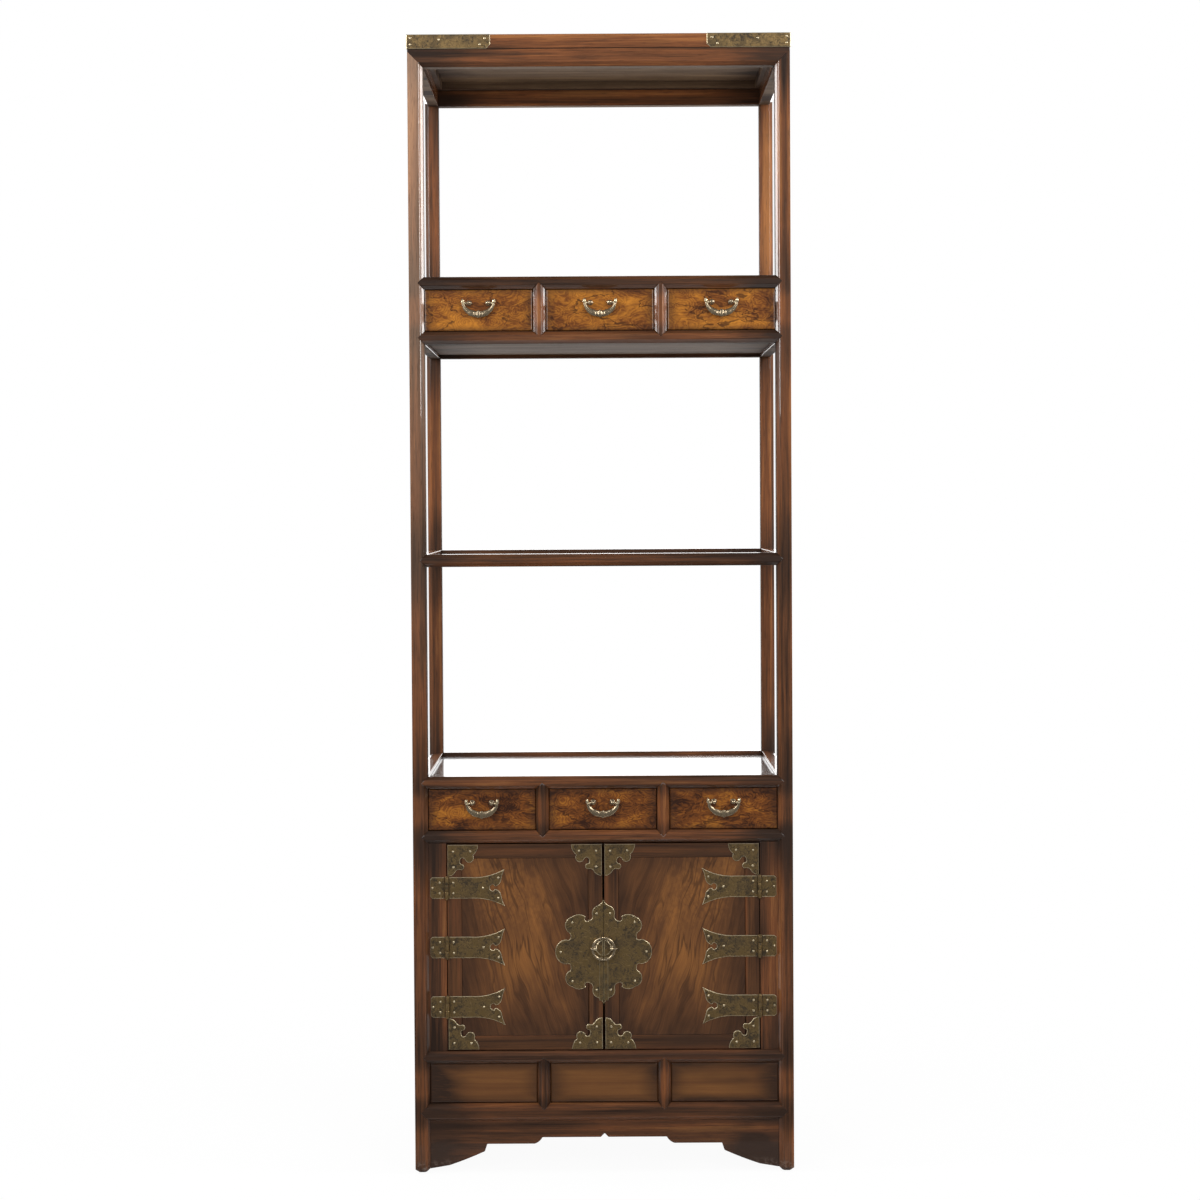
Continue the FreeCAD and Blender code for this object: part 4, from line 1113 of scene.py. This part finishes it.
class CABINET_OT_mounts(Operator):
    """Make the lobed mounts on the doors' corners"""

    bl_idname = "cabinet.mounts"
    bl_label = "Corner mounts"

    def execute(self, context):
        for side in SIDES:
            node = f"{side}_corner_mounts"
            low, high = millimetre_box(node)
            casting = Casting()
            for x, right in ((low.x, 1), (high.x, -1)):
                for z, up in ((low.z, 1), (high.z, -1)):
                    put = facing_front(x, high.y, z, right, up)
                    tacked_plate(context, casting, traced(MOUNT), put, MOUNT_TACKS)
            casting.piece(context, f"{side}_lobed_mounts", f"{side}_door", node)
        return {"FINISHED"}


class CABINET_OT_lock(Operator):
    """Make the two halves of the lobed lock plate, the eyes and the halves of the ring"""

    bl_idname = "cabinet.lock"
    bl_label = "Lock"

    def execute(self, context):
        rim = context.scene.cabinet_fittings.rim / MM
        for side, sign in SIDES.items():
            node = f"{side}_lock_plate"
            low, high = millimetre_box(node)
            seam = min(abs(low.x), abs(high.x))
            rise = (high.z - low.z) / 2
            put = facing_front(0, high.y, low.z + rise, sign)
            plate = Casting()
            half = traced([(seam, rise), *LOCK_LOBES])
            tacked_plate(context, plate, with_image(half), put, LOCK_TACKS)
            pivot = millimetres(JOINTS[f"{side}_ring_swing"]["pos_m"])
            slant = BOSS * math.sqrt(0.5)
            boss = traced([(seam, BOSS), (BOSS, 0, slant, slant)])
            plate.plate(with_image(boss), facing_front(0, high.y, pivot.z, sign), 2 * BRASS, BOSS_RIM)
            self.bar(plate, put, seam, rise, high.y - low.y, rim)
            plate.piece(context, f"{side}_lobed_plate", f"{side}_door", node)
            self.eye(context, side, sign, pivot, high.y - BRASS)
            self.half_ring(context, side, sign, *pivot)
        return {"FINISHED"}

    def bar(self, casting, put, seam, rise, height, rim):
        """Half of the flat bar over the seam in the plate's lower half."""
        low, high = (share * rise for share in BAR_ENDS)
        casting.plate([(seam, low), (BAR_HALF, low), (BAR_HALF, high), (seam, high)], put, height, rim)

    def eye(self, context, side, sign, pivot, face):
        """A knob just inside the ring on a turned foot, with a loop round the ring's wire."""
        eye = Casting()
        inside = pivot.x - sign * EYE_INSIDE
        foot = [(4.4, 0), (4.4, 0.5), (3.7, 1.1), (2.2, 1.5), (1.7, 2.2), (1.7, 6.2)]
        eye.turned(foot, facing_front(inside, face, pivot.z), 20, CAST)
        eye.knob(Vector((inside, pivot.y - 0.8, pivot.z)), (2.7, 2.5, 2.7), BEAD)
        count = 24
        loop = [pivot + EYE_LOOP * Vector((math.cos(a), math.sin(a), 0)) for a in around(count)]
        eye.swept(loop, [0.9] * count, [1.5] * count, (0, 0, 1), 10, CAST, closed=True)
        eye.piece(context, f"{side}_ring_eye", f"{side}_door", f"{side}_lock_eye")

    def half_ring(self, context, side, sign, x, y, z):
        """The half of the ring that hangs in one door's eye."""
        ring = Casting()
        radius = abs(x)
        gap = math.asin(RING_GAP / radius)
        count = 25
        span = math.pi - 2 * gap
        angles = [gap - math.pi / 2 + span * step / (count - 1) for step in range(count)]
        path = [Vector((sign * radius * math.cos(a), y, z + radius * math.sin(a))) for a in angles]
        wire = [RING_WIRE] * count
        ring.swept(path, wire, wire, (0, 1, 0), 14, CAST)
        ring.piece(context, f"{side}_pull_ring", f"{side}_ring", f"{side}_ring_half")


class CABINET_OT_pulls(Operator):
    """Make the drawers' pulls: turned posts and crescent bails with curled horns"""

    bl_idname = "cabinet.pulls"
    bl_label = "Pulls"

    def execute(self, context):
        for row in ROWS:
            for column in COLUMNS:
                name = f"{row}_{column}"
                pivot = millimetres(JOINTS[f"{name}_bail_swing"]["pos_m"])
                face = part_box(f"{name}_drawer")[0].y / MM
                self.posts(context, name, pivot, face)
                self.bail(context, name, pivot)
        return {"FINISHED"}

    def posts(self, context, name, pivot, face):
        """Two posts on spreading feet, with round heads at the height of the pins."""
        casting = Casting()
        reach = face - pivot.y
        profile = [(4.5, 0), (4.5, 0.6), (3.8, 1.3), (2.4, 1.9), (1.8, 2.8)]
        for angle in (math.radians(degrees) for degrees in range(-50, 90, 20)):
            profile.append((POST_HEAD * math.cos(angle), reach + POST_HEAD * math.sin(angle)))
        profile.append((0.4, reach + POST_HEAD - 0.02))
        for sign in SIDES.values():
            put = facing_front(pivot.x + sign * POST_ASIDE, face, pivot.z)
            casting.turned(profile, put, 16, CAST)
        casting.piece(context, f"{name}_turned_posts", f"{name}_drawer_box", f"{name}_pull_posts")

    def bail(self, context, name, pivot):
        """A crescent that swells towards its middle, with a collar on either side of its palmette."""
        casting = Casting()
        count = 33
        path = []
        widths = []
        depths = []
        for step in range(count):
            share = step / (count - 1)
            angle = math.pi * (1 + share)
            swell = math.sin(math.pi * share)
            path.append(pivot + Vector((BAIL_HALF * math.cos(angle), 0, BAIL_DROP * math.sin(angle))))
            collar = 0.5 * math.exp(-(((abs(share - 0.5) - 0.17) / 0.022) ** 2))
            widths.append(2.2 + 2.9 * swell**1.5 + collar)
            depths.append(1.8 + 0.4 * swell**2 + collar * 0.8)
        casting.swept(path, widths, depths, (0, 1, 0), 12, CAST)
        for sign in SIDES.values():
            self.horn(casting, pivot, sign)
            self.pin(casting, pivot, sign)
        self.palmette(casting, pivot)
        casting.piece(context, f"{name}_crescent_bail", f"{name}_handle", f"{name}_bail")

    def horn(self, casting, pivot, sign):
        """The curled end of a bail: a bar that turns up and outwards into a ball."""
        steps = 9
        path = []
        for step in range(steps):
            angle = math.pi * step / (steps - 1)
            out = HORN_CURL * (1 - math.cos(angle)) + 0.4 * step / steps
            path.append(pivot + Vector((sign * (BAIL_HALF + out), 0, 4.4 * math.sin(angle / 2) - 0.6)))
        widths = [1.7 + 0.9 * step / steps for step in range(steps)]
        casting.swept(path, widths, widths, (0, 1, 0), 12, CAST)
        casting.knob(pivot + Vector((sign * (BAIL_HALF + 0.9), -0.2, 2.2)), (2.7, 2.3, 4.0), BEAD)
        casting.knob(pivot + Vector((sign * (BAIL_HALF - 2.9), -0.3, -0.6)), (2.1, 2.1, 2.1), BEAD)

    def pin(self, casting, pivot, sign):
        """The pin that a bail turns on, from the head of a post outwards."""

        def along(across, upward, out):
            return (pivot.x + sign * (PIN_ASIDE + out), pivot.y + across, pivot.z + upward)

        casting.turned([(1.1, 0), (1.2, 0.3), (1.2, 10)], along, 12, CAST)

    def palmette(self, casting, pivot):
        """Three petals and a bead over the middle of a bail."""
        middle = pivot - Vector((0, 0, BAIL_DROP))
        petals = (
            ((0, -2.0, 0.2), (3.6, 1.6, 6.2)),
            ((-5.2, -1.8, 0.4), (2.6, 1.3, 4.4)),
            ((5.2, -1.8, 0.4), (2.6, 1.3, 4.4)),
            ((0, -2.8, 3.4), (1.9, 1.2, 1.9)),
        )
        for place, size in petals:
            casting.knob(middle + Vector(place), size, CAST)


# Lamps of the stage, in metres: where each stands, what it faces, its width and height
FRONT_LAMP = ((1.7, -2.7, 2.1), (0, 0, 0.95), (1.4, 1.6))
SIDE_LAMP = ((1.65, -0.36, 1.82), (0, -0.36, 1.82), (0.5, 0.92))
BACK_LAMP = ((0, 2.3, 1.2), (0, 0, 1.2), (3.2, 2.4))

# The floor of the stage, in metres: half its width, its front and rear edges, its depth under the feet
FLOOR_HALF = 3.0
FLOOR_FRONT = -0.32
FLOOR_REAR = 5.0
FLOOR_DROP = 0.0008


class CABINET_OT_stage(Operator):
    """Set the floor, the lamps, the pale surroundings and the camera"""

    bl_idname = "cabinet.stage"
    bl_label = "Stage"

    def execute(self, context):
        stage = context.scene.cabinet_stage
        self.floor(context)
        self.world(context, stage)
        for sign in SIDES.values():
            self.lamp(context, f"front_lamp_{sign}", FRONT_LAMP, stage.front_light, sign)
            self.lamp(context, f"side_lamp_{sign}", SIDE_LAMP, stage.side_light, sign)
        self.lamp(context, "back_lamp", BACK_LAMP, stage.back_light)
        self.camera(context, stage)
        context.scene.view_settings.view_transform = "Standard"
        return {"FINISHED"}

    def floor(self, context):
        """A floor that the camera sees white, but for a trace of the cabinet's shadow."""
        shader = Shader("stage_floor")
        place = shader.place()
        away = shader.vector("LENGTH", place, output="Value")
        ahead = 0 - shader.part(place, "Y")
        whiteness = 0.95 + away.step(0.5, 1.4).over(ahead.step(0.2, 0.3)) * 0.05
        shader.set(Base_Color=(0.88, 0.88, 0.88), Roughness=0.9)
        glow = shader.node("ShaderNodeEmission", {}, {"Color": (1, 1, 1), "Strength": 1.0})
        surface = Field(shader, shader.surface.outputs[0])
        share = shader.ray("Camera") * whiteness
        blend = shader.node("ShaderNodeMixShader", {}, {0: share, 1: surface, 2: glow})
        shader.feed(shader.tree.nodes["Material Output"].inputs["Surface"], blend)
        mesh = bpy.data.meshes.new("stage_floor")
        front = [(-FLOOR_HALF, FLOOR_FRONT, 0), (FLOOR_HALF, FLOOR_FRONT, 0)]
        rear = [(FLOOR_HALF, FLOOR_REAR, 0), (-FLOOR_HALF, FLOOR_REAR, 0)]
        mesh.from_pydata(front + rear, [], [(0, 1, 2, 3)])
        mesh.materials.append(shader.material)
        floor = bpy.data.objects.new("stage_floor", mesh)
        floor.location.z = -FLOOR_DROP
        context.scene.collection.objects.link(floor)

    def world(self, context, stage):
        """White for the camera; polish and metal mirror it from behind, and a dimmer room in front."""
        world = bpy.data.worlds.new("stage_surroundings")
        context.scene.world = world
        world.use_nodes = True
        graph = Graph(world.node_tree)
        seen = graph.ray("Camera")
        mirrored = graph.ray("Glossy").over(graph.ray("Transmission"))
        behind = graph.part(graph.share(), "Y").step(0.2, 0.8)
        room = stage.room + behind * (1 - stage.room)
        strength = seen + mirrored * room + (1 - seen.over(mirrored)) * stage.ambient
        background = world.node_tree.nodes["Background"]
        graph.feed(background.inputs["Color"], (1, 1, 1))
        graph.feed(background.inputs["Strength"], strength)

    def lamp(self, context, name, setting, power, sign=1):
        """A wide lamp, or its image on the other side, that the camera doesn't see."""
        (x, y, z), target, size = setting
        place = Vector((sign * x, y, z))
        light = bpy.data.lights.new(name, "AREA")
        light.shape = "RECTANGLE"
        light.size, light.size_y = size
        light.energy = power
        lamp = bpy.data.objects.new(name, light)
        lamp.location = place
        lamp.rotation_euler = (Vector(target) - place).to_track_quat("-Z", "Y").to_euler()
        lamp.visible_camera = False
        context.scene.collection.objects.link(lamp)

    def camera(self, context, stage):
        camera = bpy.data.cameras.new("camera")
        camera.sensor_width = 36
        camera.lens = stage.camera_lens
        camera.shift_y = stage.camera_shift
        holder = bpy.data.objects.new("camera", camera)
        holder.location = (stage.camera_aside, -stage.camera_distance, stage.camera_height)
        holder.rotation_euler = (math.pi / 2 - stage.camera_pitch, stage.camera_roll, 0)
        context.scene.collection.objects.link(holder)
        context.scene.camera = holder


PIECES = (
    CABINET_OT_frame,
    CABINET_OT_boards,
    CABINET_OT_doors,
    CABINET_OT_drawers,
    CABINET_OT_straps,
    CABINET_OT_hinges,
    CABINET_OT_mounts,
    CABINET_OT_lock,
    CABINET_OT_pulls,
    CABINET_OT_stage,
)


class CABINET_PT_pieces(Panel):
    """The cabinet's pieces"""

    bl_label = "Cabinet"
    bl_idname = "CABINET_PT_pieces"
    bl_space_type = "VIEW_3D"
    bl_region_type = "UI"
    bl_category = "Cabinet"

    def draw(self, context):
        for piece in PIECES:
            self.layout.operator(piece.bl_idname)


GROUPS = (CabinetFinish, CabinetFittings, CabinetStage)


def register():
    for kind in (*GROUPS, *PIECES, CABINET_PT_pieces):
        bpy.utils.register_class(kind)
    bpy.types.Scene.cabinet_finish = PointerProperty(type=CabinetFinish)
    bpy.types.Scene.cabinet_fittings = PointerProperty(type=CabinetFittings)
    bpy.types.Scene.cabinet_stage = PointerProperty(type=CabinetStage)


def unregister():
    del bpy.types.Scene.cabinet_stage
    del bpy.types.Scene.cabinet_fittings
    del bpy.types.Scene.cabinet_finish
    for kind in reversed((*GROUPS, *PIECES, CABINET_PT_pieces)):
        bpy.utils.unregister_class(kind)


def main():
    register()
    for piece in PIECES:
        family, name = piece.bl_idname.split(".")
        getattr(getattr(bpy.ops, family), name)()


if __name__ == "__main__":
    main()
